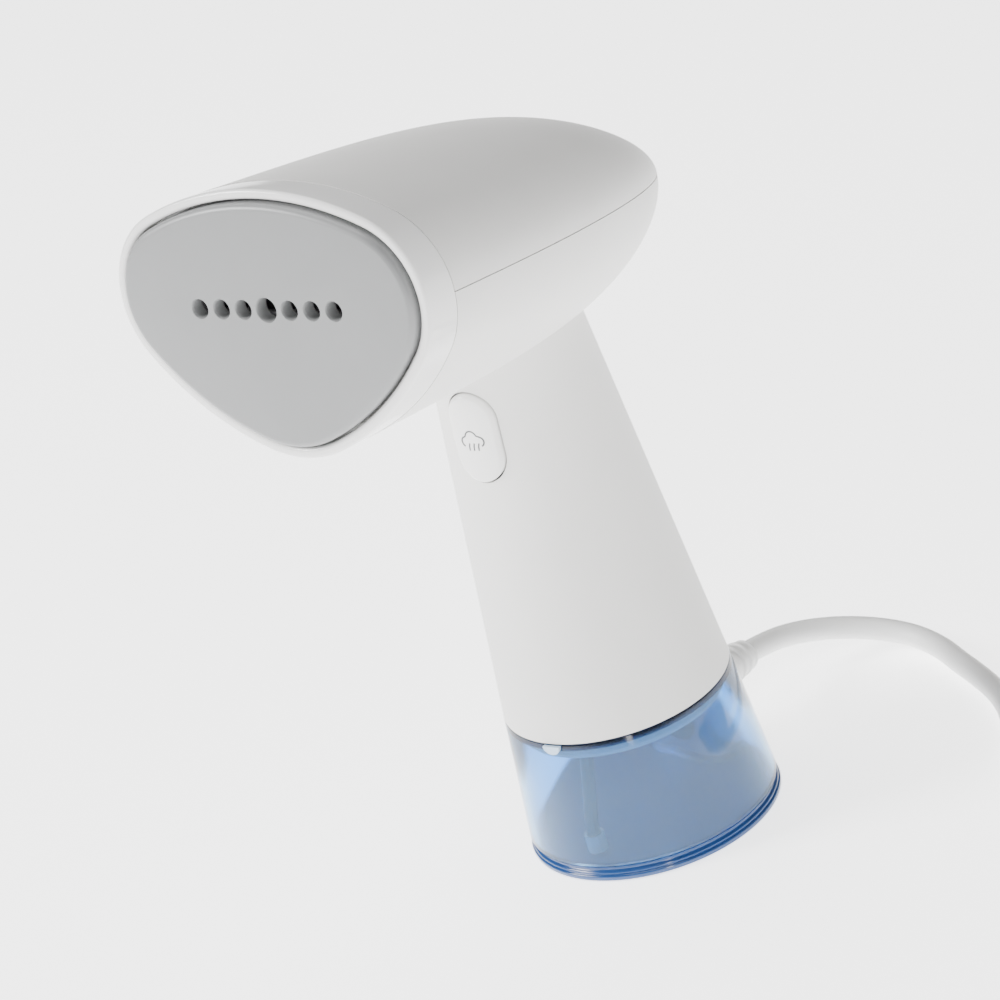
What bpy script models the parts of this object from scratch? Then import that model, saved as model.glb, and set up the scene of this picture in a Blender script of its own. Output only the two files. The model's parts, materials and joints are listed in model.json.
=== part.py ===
"""Handheld garment steamer: a pistol handle standing on its water tank, with a steam head on top.

Units are metres and +Z is up. The origin is the centre of the tank's foot, on the surface that the
steamer stands on. The steam plate faces -Y, the cord leaves at +Y, and X runs across.
"""
import math

import bmesh
import bpy
import numpy as np
from mathutils import Matrix, Vector

GAP = 0.0003

# Tank and handle: two round tapers, one above the other.
FOOT_R = 0.0379
SEAM_Z = 0.044
SEAM_R = 0.0340
NECK_Z = 0.1537
NECK_R = 0.0235
TANK_FLOOR_Z = 0.0048
TANK_WALL = 0.0018
SLEEVE_WALL = 0.0022
SLEEVE_TOP_Z = 0.170
COLLAR_LOW_Z = 0.1675
COLLAR_TOP_Z = 0.1695
COLLAR_WIDTH = 0.0025
ROUND_STEPS = 44

# The slot up the back of the tank, and the tongue of the handle that fills it.
SLOT_HALF_W = 0.0122
SLOT_Y = 0.0208
SLOT_FILLET = 0.003
TONGUE_PLAY = 0.0004
TONGUE_WALL = 0.002
TONGUE_FOOT_Z = 0.0066

# Tank plug, with its seal groove, and the dip tube that hangs from it.
PLUG_LOW_Z = 0.038
PLUG_TOP_Z = 0.0475
PLUG_FLOOR_Z = 0.043
PLUG_RIM = 0.0047
GROOVE_DEPTH = 0.0022
SEAL_PLAY = 0.0005
GROOVE_LOW_Z = 0.0392
GROOVE_TOP_Z = 0.0424
DIP_R = 0.0020
DIP_BORE = 0.0012
DIP_Y = -0.0205
DIP_FOOT_Y = -0.0284
HOSE_BORE = 0.0023
HOSE_R = 0.0034
VENT_AT = (0.013, -0.006)

# Head: its own frame sits in the middle of the steam plate, tilted to face slightly upwards.
HEAD_Y = -0.0869
HEAD_Z = 0.2126
HEAD_TILT = math.radians(8.17)
HEAD_LENGTH = 0.1419
HEAD_WALL = 0.0022
LIP = 0.00334
BEZEL_FRONT = 0.0022
BEZEL_BACK = 0.01385
SHELL_FRONT = 0.01415
PARTING_SLOPE = -0.061
TOP_SAG = 0.0094
KEEL_SAG = 0.0085

# Plate outline: a triangle of three round corners and three bulging sides.
CORNER_X = 0.02793
CORNER_V = 0.00174
CORNER_R = 0.02242
CHIN_V = -0.00891
CHIN_R = 0.03094
BROW_R = 0.09277
CHEEK_R = 0.0848
PLATE_INSET = 0.0012
PLATE_T = 0.0042
HOLE_R = 0.00258
MIDDLE_HOLE_R = 0.00326
HOLE_FIRST = 0.00806
HOLE_PITCH = 0.00764
CHAMBER_FRONT = 0.0066
CHAMBER_BACK = 0.026
CHAMBER_WALL = -0.0060
FLANGE_SCREWS = -0.0030
ELEMENT_R = 0.0031
ELEMENT_V = (0.0080, -0.0140)

# Trigger, its switch and its spring.
TRIGGER_Z = 0.1392
TRIGGER_HALF_W = 0.008
TRIGGER_HALF_H = 0.0133
TRIGGER_PROUD = 0.0013
TRIGGER_GAP = 0.0005
TRIGGER_FLANGE_Y = -0.0189
TRIGGER_BACK_Y = -0.0173
TRIGGER_POCKET_Y = -0.0212
PUSHER_Z = 0.137
PUSHER_BACK_Y = -0.0130
SPRING_Z = 0.1476
SPRING_SEAT_Y = -0.0097

# Pump on the handle's axis.
PUMP_Y = -0.001
PUMP_LOW_Z = 0.070
PUMP_TOP_Z = 0.126
PUMP_BORE = 0.0043
COIL_LOW_Z = 0.0838
COIL_TOP_Z = 0.1082
COIL_R = 0.0113
COIL_BORE = 0.0069
YOKE_HALF = (0.0143, 0.008)
YOKE_T = 0.0016
PUMP_SPRING_Z = 0.0803
PISTON_R = 0.0040
PISTON_BORE = 0.0014
PISTON_LOW_Z = 0.089
PISTON_TOP_Z = 0.105

# Handle frame.
FRAME_Y = 0.0108
FRAME_T = 0.002
FRAME_HALF_W = 0.0152
FRAME_FOOT_Z = 0.0433
FRAME_FOOT_T = 0.0025
FRAME_TOP_Z = 0.151
CHEEK_X = 0.0082
CHEEK_T = 0.002
SCREW_HOLE_R = 0.0016
PLUG_SCREW_AT = (0.011, 0.004)
CLAMP_SCREW_X = 0.0078
CLAMP_Z = 0.0550
TERMINAL_X = 0.0055
LEAD_R = 0.0011

# Hose from the pump's outlet, up through the neck, to the steam chamber's nozzle.
NOZZLE_V = -0.0215
DELIVERY_ROUTE = [
    (0, -0.06094, 0.18715),
    (0, -0.05434, 0.18619),
    (0, -0.0476, 0.1852),
    (0, -0.0380, 0.1834),
    (0, -0.0270, 0.1796),
    (0, -0.0150, 0.1722),
    (0, -0.0052, 0.1620),
    (0, 0.0010, 0.1500),
    (0, 0.0026, 0.1400),
    (0, 0.0014, 0.1320),
    (0, PUMP_Y, 0.1265),
    (0, PUMP_Y, 0.1230),
    (0, PUMP_Y, 0.1195),
]

# Cord: its guard leaves the tongue slightly downwards, and the cord then droops to the floor.
CORD_R = 0.0035
GUARD_AT = (0.0, 0.0363, 0.022)
GUARD_DROP = math.radians(10)
GUARD_LENGTH = 0.0235
GUARD_HOLE_R = 0.0083
CORD_ROUTE = [
    (0.0, 0.05974, 0.01787),
    (0.0, 0.0640, 0.0171),
    (0.0019, 0.0746, 0.0148),
    (0.0073, 0.0839, 0.0121),
    (0.0155, 0.0908, 0.0093),
    (0.0256, 0.0945, 0.0069),
    (0.0364, 0.0945, 0.0052),
    (0.0470, 0.0908, 0.0041),
    (0.0566, 0.0850, 0.0036),
    (0.0662, 0.0789, 0.0036),
    (0.0757, 0.0723, 0.0036),
    (0.0846, 0.0646, 0.0036),
    (0.0923, 0.0554, 0.0036),
    (0.0988, 0.0455, 0.0036),
    (0.1058, 0.0360, 0.0036),
    (0.1146, 0.0281, 0.0036),
    (0.1250, 0.0221, 0.0036),
]
COIL_X = 0.150
COIL_Y = 0.066
COIL_INNER_R = 0.0255
COIL_OUTER_R = 0.0465
COIL_HEIGHT = 0.0139
COIL_BEVEL = 0.0025
TAIL_ROUTE = [
    (0.1713, 0.1119, 0.0036),
    (0.1610, 0.1162, 0.0038),
    (0.1500, 0.1178, 0.0048),
    (0.1420, 0.1173, 0.0062),
    (0.1350, 0.1162, 0.0074),
    (0.1288, 0.1153, 0.0080),
]
PLUG_AT = (0.1278, 0.1152, 0.0080)
PLUG_TURN = math.radians(6)
BLADE_Y = 0.0063

COLOURS = {
    "shell_white": ((0.84, 0.84, 0.82), 0.42, 0.0),
    "bezel_white": ((0.88, 0.88, 0.87), 0.12, 0.0),
    "plate_grey": ((0.45, 0.46, 0.47), 0.45, 0.3),
    "tank_blue": ((0.30, 0.50, 0.72), 0.35, 0.0),
    "base_blue": ((0.08, 0.20, 0.42), 0.25, 0.0),
    "cord_white": ((0.80, 0.80, 0.79), 0.5, 0.0),
    "natural_plastic": ((0.70, 0.69, 0.64), 0.5, 0.0),
    "black_plastic": ((0.03, 0.03, 0.03), 0.5, 0.0),
    "silicone": ((0.55, 0.55, 0.53), 0.6, 0.0),
    "die_cast": ((0.60, 0.60, 0.61), 0.4, 1.0),
    "steel": ((0.62, 0.62, 0.62), 0.3, 1.0),
    "brass": ((0.75, 0.58, 0.28), 0.3, 1.0),
    "copper": ((0.72, 0.32, 0.14), 0.35, 1.0),
}


# ---------------------------------------------------------------- tools


def clear_scene():
    for item in list(bpy.data.objects):
        bpy.data.objects.remove(item, do_unlink=True)


def material(slot):
    found = bpy.data.materials.get(slot)
    if found:
        return found
    colour, roughness, metallic = COLOURS[slot]
    made = bpy.data.materials.new(slot)
    made.use_nodes = True
    shader = made.node_tree.nodes["Principled BSDF"]
    shader.inputs["Base Color"].default_value = (*colour, 1.0)
    shader.inputs["Roughness"].default_value = roughness
    shader.inputs["Metallic"].default_value = metallic
    if slot == "tank_blue":
        shader.inputs["Alpha"].default_value = 0.45
    return made


def skin(rings, closed=False, capped=True):
    """A mesh through rings that have the same number of points; closed joins the last to the first."""
    bm = bmesh.new()
    rows = [[bm.verts.new(point) for point in ring] for ring in rings]
    pairs = list(zip(rows, rows[1:]))
    if closed:
        pairs.append((rows[-1], rows[0]))
    for low, high in pairs:
        for i in range(len(low)):
            j = (i + 1) % len(low)
            bm.faces.new((low[i], low[j], high[j], high[i]))
    if capped and not closed:
        bm.faces.new(rows[0][::-1])
        bm.faces.new(rows[-1])
    bmesh.ops.remove_doubles(bm, verts=bm.verts, dist=1e-6)
    bmesh.ops.recalc_face_normals(bm, faces=bm.faces)
    return bm


def turned(profile, steps=32):
    """A body of revolution about Z. A profile that starts on the axis is solid, any other is a ring."""
    angles = [2 * math.pi * (i + 0.5) / steps for i in range(steps)]
    rings = [[(r * math.cos(a), r * math.sin(a), z) for a in angles] for r, z in profile]
    return skin(rings, closed=profile[0][0] > 0, capped=False)


def block(low, high, bevel=0.0):
    """A box between two corners, with its edges rounded off."""
    bm = bmesh.new()
    centre = [(a + b) / 2 for a, b in zip(low, high)]
    size = [b - a for a, b in zip(low, high)]
    matrix = Matrix.Translation(centre) @ Matrix.Diagonal((*size, 1.0))
    bmesh.ops.create_cube(bm, size=1.0, matrix=matrix)
    if bevel:
        bmesh.ops.bevel(bm, geom=bm.edges[:], offset=bevel, segments=1, affect="EDGES")
    return bm


def add(name, bm, slot=None, parent=None, location=(0, 0, 0), axis=None):
    """A named object from a mesh. Its own Z is turned to axis, and a piece with no slot is a cutter."""
    mesh = bpy.data.meshes.new(name)
    bm.to_mesh(mesh)
    bm.free()
    mesh.shade_smooth()
    mesh.set_sharp_from_angle(angle=math.radians(35))
    made = bpy.data.objects.new(name, mesh)
    bpy.context.scene.collection.objects.link(made)
    made.location = location
    if axis is not None:
        made.rotation_euler = Vector(axis).to_track_quat("Z", "Y").to_euler()
    made.parent = parent
    if slot:
        mesh.materials.append(material(slot))
    else:
        made.hide_render = True
        made.display_type = "WIRE"
    return made


def empty(name, location, tilt=0.0, parent=None):
    made = bpy.data.objects.new(name, None)
    bpy.context.scene.collection.objects.link(made)
    made.location = location
    made.rotation_euler = (tilt, 0, 0)
    made.parent = parent
    return made


def cut(target, cutter, operation="DIFFERENCE"):
    modifier = target.modifiers.new(cutter.name, "BOOLEAN")
    modifier.operation = operation
    modifier.object = cutter


def smooth_path(points, spacing):
    """Points at an even spacing on a Catmull-Rom curve through the route's points."""
    route = [np.array(p, float) for p in points]
    route = [2 * route[0] - route[1], *route, 2 * route[-1] - route[-2]]
    fine = []
    for a, b, c, d in zip(route, route[1:], route[2:], route[3:]):
        for t in np.linspace(0, 1, 12, endpoint=False):
            bend = (2 * a - 5 * b + 4 * c - d) * t**2 + (3 * b - a - 3 * c + d) * t**3
            fine.append(b + 0.5 * ((c - a) * t + bend))
    fine = np.array([*fine, route[-2]])
    run = np.concatenate([[0], np.cumsum(np.linalg.norm(np.diff(fine, axis=0), axis=1))])
    stops = np.linspace(0, run[-1], max(2, round(run[-1] / spacing) + 1))
    return [tuple(np.interp(s, run, fine[:, i]) for i in range(3)) for s in stops]


def rod(name, points, radius, slot, spacing, parent=None, resolution=2):
    """A round rod or cord along a smooth path, with filled ends."""
    curve = bpy.data.curves.new(name, "CURVE")
    curve.dimensions = "3D"
    curve.bevel_depth = radius
    curve.bevel_resolution = resolution
    curve.use_fill_caps = True
    path = smooth_path(points, spacing)
    spline = curve.splines.new("POLY")
    spline.points.add(len(path) - 1)
    for target, point in zip(spline.points, path):
        target.co = (*point, 1.0)
    curve.materials.append(material(slot))
    made = bpy.data.objects.new(name, curve)
    bpy.context.scene.collection.objects.link(made)
    made.parent = parent
    return made


def pipe(name, points, radius, bore, slot, spacing, sides=10, parent=None):
    """A hollow tube along a smooth path that stays in one plane of constant X."""
    path = [Vector(p) for p in smooth_path(points, spacing)]
    across = Vector((1, 0, 0))
    outer, inner = [], []
    for i, point in enumerate(path):
        ahead = (path[min(i + 1, len(path) - 1)] - path[max(i - 1, 0)]).normalized()
        up = ahead.cross(across).normalized()
        turns = [2 * math.pi * k / sides for k in range(sides)]
        outer.append([point + (across * math.cos(a) + up * math.sin(a)) * radius for a in turns])
        inner.append([point + (across * math.cos(a) + up * math.sin(a)) * bore for a in turns])
    return add(name, skin(outer + inner[::-1], closed=True), slot, parent)


def spring(name, start, axis, length, radius, wire, turns, slot, parent=None):
    """A compression spring: a round wire wound about axis, with a closed end turn at both ends."""
    steps = 10
    count = int(steps * turns)
    direction = Vector(axis).normalized()
    side = direction.orthogonal().normalized()
    other = direction.cross(side)
    rings = []
    for i in range(count + 1):
        t = i / count
        rise = wire + (length - 2 * wire) * t
        angle = 2 * math.pi * i / steps
        out = side * math.cos(angle) + other * math.sin(angle)
        centre = Vector(start) + direction * rise + out * radius
        section = [math.pi * 2 * k / 5 for k in range(5)]
        rings.append([centre + (out * math.cos(a) + direction * math.sin(a)) * wire for a in section])
    return add(name, skin(rings), slot, parent)


def screw(name, at, axis, length, parent=None, shank=0.0013):
    """A pan-head screw whose head sits on the point at, with its shank along axis."""
    profile = [
        (0, -0.0009), (0.0010, -0.0009), (0.0010, -0.0019), (0.0022, -0.0017),
        (0.0026, -0.0009), (0.0026, 0), (shank, 0), (shank, length - 0.001), (0, length),
    ]
    return add(name, turned(profile, 12), "steel", parent, at, axis)


def screw_hole(name, at, axis=None, length=0.020, parent=None):
    """A cutter for a screw's clearance hole, from the point at along axis."""
    hole = turned([(0, 0), (SCREW_HOLE_R, 0), (SCREW_HOLE_R, length), (0, length)], 12)
    return add(name, hole, None, parent, at, axis)


# ---------------------------------------------------------------- shared shapes


def taper_r(z):
    """Outer radius of the tank below the seam, and of the handle above it."""
    if z < SEAM_Z:
        return FOOT_R + (SEAM_R - FOOT_R) * z / SEAM_Z
    return SEAM_R + (NECK_R - SEAM_R) * (z - SEAM_Z) / (NECK_Z - SEAM_Z)


def slot_corners(half, floor, fillet):
    """The slot's two rounded inner corners as (x, y), from -X to +X."""
    turns = [math.pi / 2 * i / 3 for i in range(4)]
    left = [(-half + fillet * (1 - math.cos(a)), floor + fillet * (1 - math.sin(a))) for a in turns]
    return left + [(-x, y) for x, y in left[::-1]]


def slotted_circle(radius, inset, z):
    """A circle of the given radius with the slot cut into its back, drawn inwards by inset."""
    half = SLOT_HALF_W + inset
    floor = SLOT_Y - inset
    r = radius - inset
    start = math.acos(half / r)
    sweep = math.pi + 2 * start
    arc = [start - sweep * i / ROUND_STEPS for i in range(ROUND_STEPS + 1)]
    points = [(r * math.cos(a), r * math.sin(a), z) for a in arc]
    return points + [(x, y, z) for x, y in slot_corners(half, floor, SLOT_FILLET + inset)]


def tongue_section(inset, z):
    """The hollow of the tongue: the part of the taper's circle inside the slot, drawn inwards."""
    half = SLOT_HALF_W - TONGUE_PLAY - inset
    front = SLOT_Y + TONGUE_PLAY + inset
    r = taper_r(z) - 1.5 * inset
    end = math.asin(half / r)
    back = [end - 2 * end * i / 8 for i in range(9)]
    return [(-half, front, z), (half, front, z)] + [(r * math.sin(a), r * math.cos(a), z) for a in back]


def arc_points(centre, radius, start, end, steps):
    """Points on an arc from start towards end, leaving out the last."""
    stops = [start + (end - start) * i / steps for i in range(steps)]
    return [(centre[0] + radius * math.cos(a), centre[1] + radius * math.sin(a)) for a in stops]


def plate_outline(offset):
    """The head's outline as (x, v), from the right corner over the top, widened by offset.

    The first half runs over the brow and the second half under the chin.
    """
    corner = Vector((CORNER_X, CORNER_V))
    chin = Vector((0, CHIN_V))
    brow_v = CORNER_V - math.sqrt((BROW_R - CORNER_R) ** 2 - CORNER_X**2)
    brow_end = math.atan2(CORNER_V - brow_v, CORNER_X)
    span = chin - corner
    near, far = CHEEK_R - CORNER_R, CHEEK_R - CHIN_R
    along = (near**2 - far**2 + span.length_squared) / (2 * span.length)
    away = math.sqrt(near**2 - along**2)
    ahead = span.normalized()
    cheek = corner + ahead * along + Vector((ahead.y, -ahead.x)) * away
    to_corner = math.atan2(corner.y - cheek.y, corner.x - cheek.x)
    to_chin = math.atan2(chin.y - cheek.y, chin.x - cheek.x)
    right_top = arc_points(corner, CORNER_R + offset, 0, brow_end, 5)
    brow = arc_points((0, brow_v), BROW_R + offset, brow_end, math.pi / 2, 3)
    right_low = arc_points(corner, CORNER_R + offset, 0, to_corner, 4)
    right_low += arc_points(cheek, CHEEK_R + offset, to_corner, to_chin, 5)
    right_low += arc_points(chin, CHIN_R + offset, to_chin, -math.pi / 2, 4)
    quarter_top = right_top + brow
    quarter_low = right_low
    crown = [(0, brow_v + BROW_R + offset)]
    keel = [(0, CHIN_V - CHIN_R - offset)]
    top = quarter_top + crown + [(-x, v) for x, v in quarter_top[::-1]]
    low = quarter_low + keel + [(-x, v) for x, v in quarter_low[::-1]]
    return top, low


def head_loop(offset, s):
    """The whole outline, offset outwards, at the distance s behind the face of the steam plate."""
    top, low = plate_outline(offset)
    return [(x, s, v) for x, v in top + low[-2:0:-1]]


def head_half(s, inset, upper):
    """One half of the head's section at s: the plate's outline, rounding off towards the tail."""
    top, low = plate_outline(LIP)
    points = top if upper else low
    width = CORNER_X + CORNER_R + LIP
    tall = max(v for _, v in top) - CORNER_V
    deep = CORNER_V - min(v for _, v in low)
    length = HEAD_LENGTH - inset
    u = min(s / length, 1.0)
    round_off = 1 - (1 - u) ** 1.56
    half_width = (width - inset) * (1 - u**2.75) ** 0.26
    if upper:
        height = (tall - inset - TOP_SAG * u * (1 - u)) * (1 - u**3) ** 0.48
    else:
        height = (deep - inset - KEEL_SAG * u * (1 - u)) * (1 - u**3.7) ** 0.52
    middle = CORNER_V + PARTING_SLOPE * s
    made = []
    for x, v in points:
        gx = x / width
        gv = (v - CORNER_V) / (tall if upper else deep)
        angle = math.atan2(gv, gx)
        gx += (math.cos(angle) - gx) * round_off
        gv += (math.sin(angle) - gv) * round_off
        made.append((half_width * gx, s, middle + height * gv))
    return made


def head_whole(s, inset):
    upper = head_half(s, inset, True)
    lower = head_half(s, inset, False)
    return upper + lower[-2:0:-1]


def stadium(offset, steps=6):
    """The trigger's outline as (x, z about its middle): straight sides and round ends."""
    r = TRIGGER_HALF_W + offset
    rise = TRIGGER_HALF_H - TRIGGER_HALF_W
    ends = [math.pi * i / steps for i in range(steps + 1)]
    top = [(r * math.cos(a), rise + r * math.sin(a)) for a in ends]
    return top + [(-x, -z) for x, z in top]


# ---------------------------------------------------------------- tank


def make_tank():
    wall = [
        slotted_circle(taper_r(TANK_FLOOR_Z), 0, TANK_FLOOR_Z + GAP),
        slotted_circle(taper_r(SEAM_Z), 0, SEAM_Z),
        slotted_circle(taper_r(SEAM_Z), TANK_WALL, SEAM_Z),
        slotted_circle(taper_r(TANK_FLOOR_Z), TANK_WALL, TANK_FLOOR_Z + GAP),
    ]
    tank = add("tank_body", skin(wall, closed=True), "tank_blue")
    nub = [math.pi * i / 8 for i in range(9)]
    faces = [
        [(0.0029 * math.cos(a), y, SEAM_Z - 0.0001 - 0.0026 * math.sin(a)) for a in nub]
        for y in (-SEAM_R - 0.0011, -SEAM_R + 0.0008)
    ]
    cut(tank, add("tank_nub_joined", skin(faces)), "UNION")
    base = [
        (0, 0), (0.012, 0), (0.013, 0.0028), (0.0305, 0.0028), (0.0315, 0), (0.0373, 0),
        (FOOT_R, 0.0006), (FOOT_R, 0.0018), (0.0372, 0.0021), (0.0375, 0.0026), (0.0373, 0.0030),
        (0.0367, 0.0034), (0.0367, 0.0042), (0.03745, 0.0045), (0.03745, TANK_FLOOR_Z),
        (0, TANK_FLOOR_Z),
    ]
    add("tank_base", turned(base, ROUND_STEPS), "base_blue")


def make_tank_plug():
    """The plug is drawn in from the tank's inner wall, so its slot is deeper than the tongue needs."""
    inner = TANK_WALL + 0.0011
    seam = SEAM_R

    def ring(inset, z):
        return slotted_circle(seam, inner + inset, z)

    rings = [
        ring(0, PLUG_LOW_Z), ring(0, GROOVE_LOW_Z),
        ring(GROOVE_DEPTH, GROOVE_LOW_Z), ring(GROOVE_DEPTH, GROOVE_TOP_Z),
        ring(0, GROOVE_TOP_Z), ring(0, PLUG_TOP_Z),
        ring(PLUG_RIM, PLUG_TOP_Z), ring(PLUG_RIM, PLUG_FLOOR_Z),
    ]
    plug = add("tank_plug", skin(rings), "natural_plastic")
    hole = turned([(0, 0.030), (DIP_R + GAP, 0.030), (DIP_R + GAP, 0.060), (0, 0.060)], 16)
    cut(plug, add("dip_tube_hole", hole, location=(0, DIP_Y, 0)))
    vent = turned([(0, 0.030), (0.0023, 0.030), (0.0023, 0.060), (0, 0.060)], 12)
    cut(plug, add("vent_hole", vent, location=(*VENT_AT, 0)))
    x, y = PLUG_SCREW_AT
    for side in (-1, 1):
        cut(plug, screw_hole(f"plug_screw_hole_{side + 2}", (side * x, y, GROOVE_LOW_Z)))
    play = inner - TANK_WALL - GAP
    seal = [
        slotted_circle(seam, inner - play, GROOVE_LOW_Z + GAP),
        slotted_circle(seam, inner - play, GROOVE_TOP_Z - GAP),
        slotted_circle(seam, inner + GROOVE_DEPTH - SEAL_PLAY, GROOVE_TOP_Z - GAP),
        slotted_circle(seam, inner + GROOVE_DEPTH - SEAL_PLAY, GROOVE_LOW_Z + GAP),
    ]
    add("tank_seal", skin(seal, closed=True), "silicone")
    umbrella = [
        (0, 0.0362), (0.0020, 0.0362), (0.0042, 0.0370), (0.0042, 0.0377), (0.0020, 0.0377),
        (0.0020, 0.0440), (0.0027, 0.0440), (0.0018, 0.0458), (0, 0.0458),
    ]
    add("vent_valve", turned(umbrella, 12), "silicone", location=(*VENT_AT, 0))


def make_suction():
    dip = [
        (0, DIP_Y, 0.0540), (0, DIP_Y, 0.0470), (0, DIP_Y, 0.0385), (0, DIP_Y - 0.0012, 0.0325),
        (0, DIP_Y - 0.0034, 0.0255), (0, DIP_Y - 0.0060, 0.0185), (0, DIP_FOOT_Y, 0.0120),
        (0, DIP_FOOT_Y, 0.0062),
    ]
    pipe("dip_tube", dip, DIP_R, DIP_BORE, "natural_plastic", 0.004)
    filter_cup = [(0.0023, 0.0056), (0.0029, 0.0056), (0.0029, 0.0110), (0.0023, 0.0110)]
    add("inlet_filter", turned(filter_cup, 16), "silicone", location=(0, DIP_FOOT_Y, 0))
    hose = [
        (0, DIP_Y, 0.0489), (0, DIP_Y, 0.0540), (0, -0.0183, 0.0588), (0, -0.0125, 0.0622),
        (0, -0.0060, 0.0646), (0, -0.0018, 0.0668), (0, PUMP_Y, 0.0692), (0, PUMP_Y, 0.0765),
    ]
    pipe("suction_hose", hose, HOSE_R, HOSE_BORE, "silicone", 0.004)


# ---------------------------------------------------------------- handle


def make_sleeve():
    outer = [(0, TONGUE_FOOT_Z), (taper_r(TONGUE_FOOT_Z), TONGUE_FOOT_Z), (SEAM_R, SEAM_Z),
             (taper_r(SLEEVE_TOP_Z), SLEEVE_TOP_Z), (0, SLEEVE_TOP_Z)]
    sleeve = add("handle_sleeve", turned(outer, ROUND_STEPS), "shell_white")
    half = SLOT_HALF_W - TONGUE_PLAY
    front = SLOT_Y + TONGUE_PLAY
    far = 2 * FOOT_R
    corners = slot_corners(half, front, SLOT_FILLET)
    outline = [(-far, -far), (far, -far), (far, far), (half, far), *corners[::-1], (-half, far), (-far, far)]
    below = skin([[(x, y, z) for x, y in outline] for z in (-0.01, SEAM_Z + GAP)])
    cut(sleeve, add("sleeve_below_seam", below))
    low = SEAM_Z - 0.001
    inner = [(0, low), (taper_r(low) - SLEEVE_WALL, low),
             (taper_r(SLEEVE_TOP_Z) - SLEEVE_WALL, SLEEVE_TOP_Z + 0.002), (0, SLEEVE_TOP_Z + 0.002)]
    cut(sleeve, add("sleeve_cavity", turned(inner, ROUND_STEPS)))
    hollow = skin([tongue_section(TONGUE_WALL, z) for z in (TONGUE_FOOT_Z + 0.002, SEAM_Z + 0.004)])
    cut(sleeve, add("tongue_cavity", hollow))
    opening = [[(x, y, TRIGGER_Z + z) for x, z in stadium(TRIGGER_GAP)] for y in (-0.04, -0.012)]
    cut(sleeve, add("trigger_opening", skin(opening)))
    hole = turned([(0, -0.008), (GUARD_HOLE_R, -0.008), (GUARD_HOLE_R, 0.01), (0, 0.01)], 24)
    cut(sleeve, add("guard_hole", hole, location=GUARD_AT, axis=guard_axis()))
    r = taper_r(COLLAR_LOW_Z) + GAP
    wide = r + COLLAR_WIDTH
    collar = [(r, COLLAR_LOW_Z), (wide, COLLAR_LOW_Z), (wide, COLLAR_TOP_Z), (r, COLLAR_TOP_Z)]
    add("neck_collar", turned(collar, 32), "natural_plastic")


def make_frame():
    back = FRAME_Y + 0.001
    wide = FRAME_HALF_W
    wall = block((-wide, FRAME_Y, FRAME_FOOT_Z), (wide, FRAME_Y + FRAME_T, FRAME_TOP_Z))
    frame = add("handle_frame", wall, "natural_plastic")
    foot_top = FRAME_FOOT_Z + FRAME_FOOT_T
    foot = add("frame_foot", block((-wide, -0.0022, FRAME_FOOT_Z), (wide, back, foot_top)))
    x, y = PLUG_SCREW_AT
    for side in (-1, 1):
        cut(foot, screw_hole(f"frame_screw_hole_{side + 2}", (side * x, y, 0.040)))
        screw(f"plug_screw_{(side + 3) // 2}", (side * x, y, foot_top + GAP), (0, 0, -1), 0.0062)
        low_x, high_x = sorted((side * CHEEK_X, side * (CHEEK_X + CHEEK_T)))
        cheek = block((low_x, -0.0142, 0.129), (high_x, back, FRAME_TOP_Z - 0.0004))
        cut(frame, add(f"frame_cheek_{side + 2}", cheek), "UNION")
        shelf = block((low_x, -0.010, 0.1115), (high_x, back, 0.1140))
        cut(frame, add(f"frame_shelf_{side + 2}", shelf), "UNION")
    reach = CHEEK_X + 0.001
    seat = block((-reach, SPRING_SEAT_Y, 0.1448), (reach, SPRING_SEAT_Y + 0.0015, 0.1505))
    cut(frame, add("spring_seat", seat), "UNION")
    cut(frame, foot, "UNION")


def make_pump():
    at = (0, PUMP_Y, 0)
    body = [
        (0.0012, PUMP_LOW_Z), (DIP_R, PUMP_LOW_Z), (DIP_R, 0.0770), (0.0065, 0.0785),
        (0.0065, 0.1160), (DIP_R, 0.1180), (DIP_R, PUMP_TOP_Z), (0.0012, PUMP_TOP_Z),
        (0.0012, 0.1165), (PUMP_BORE, 0.1150), (PUMP_BORE, 0.0800), (0.0012, 0.0795),
    ]
    add("pump_body", turned(body, 20), "natural_plastic", location=at)
    winding = [
        (COIL_BORE, COIL_LOW_Z), (COIL_R, COIL_LOW_Z), (COIL_R, COIL_TOP_Z), (COIL_BORE, COIL_TOP_Z),
    ]
    add("pump_coil", turned(winding, 24), "copper", location=at)
    half_w, half_d = YOKE_HALF
    low, high = COIL_LOW_Z - GAP, COIL_TOP_Z + GAP
    yoke = block(
        (-half_w, PUMP_Y - half_d, low - YOKE_T), (half_w, PUMP_Y + half_d, high + YOKE_T),
    )
    yoke = add("pump_yoke", yoke, "steel")
    inner = half_w - YOKE_T
    window = block((-inner, PUMP_Y - 0.02, low), (inner, PUMP_Y + 0.02, high))
    cut(yoke, add("yoke_window", window))
    bore = turned([(0, 0.07), (0.0068, 0.07), (0.0068, 0.12), (0, 0.12)], 20)
    cut(yoke, add("yoke_bore", bore, location=at))
    tall = PISTON_TOP_Z - PISTON_LOW_Z
    piston = [(PISTON_BORE, 0), (PISTON_R, 0), (PISTON_R, tall), (PISTON_BORE, tall)]
    add("pump_piston", turned(piston, 16), "steel", location=(0, PUMP_Y, PISTON_LOW_Z))
    length = PISTON_LOW_Z - GAP - PUMP_SPRING_Z
    spring("pump_spring", (0, PUMP_Y, PUMP_SPRING_Z), (0, 0, 1), length, 0.0033, 0.0003, 5, "steel")
    valve = [
        (0, 0.1095), (0.0030, 0.1095), (0.0036, 0.1105), (0.0036, 0.1120), (0.0010, 0.1145), (0, 0.1145),
    ]
    add("check_valve", turned(valve, 12), "silicone", location=at)


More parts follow.
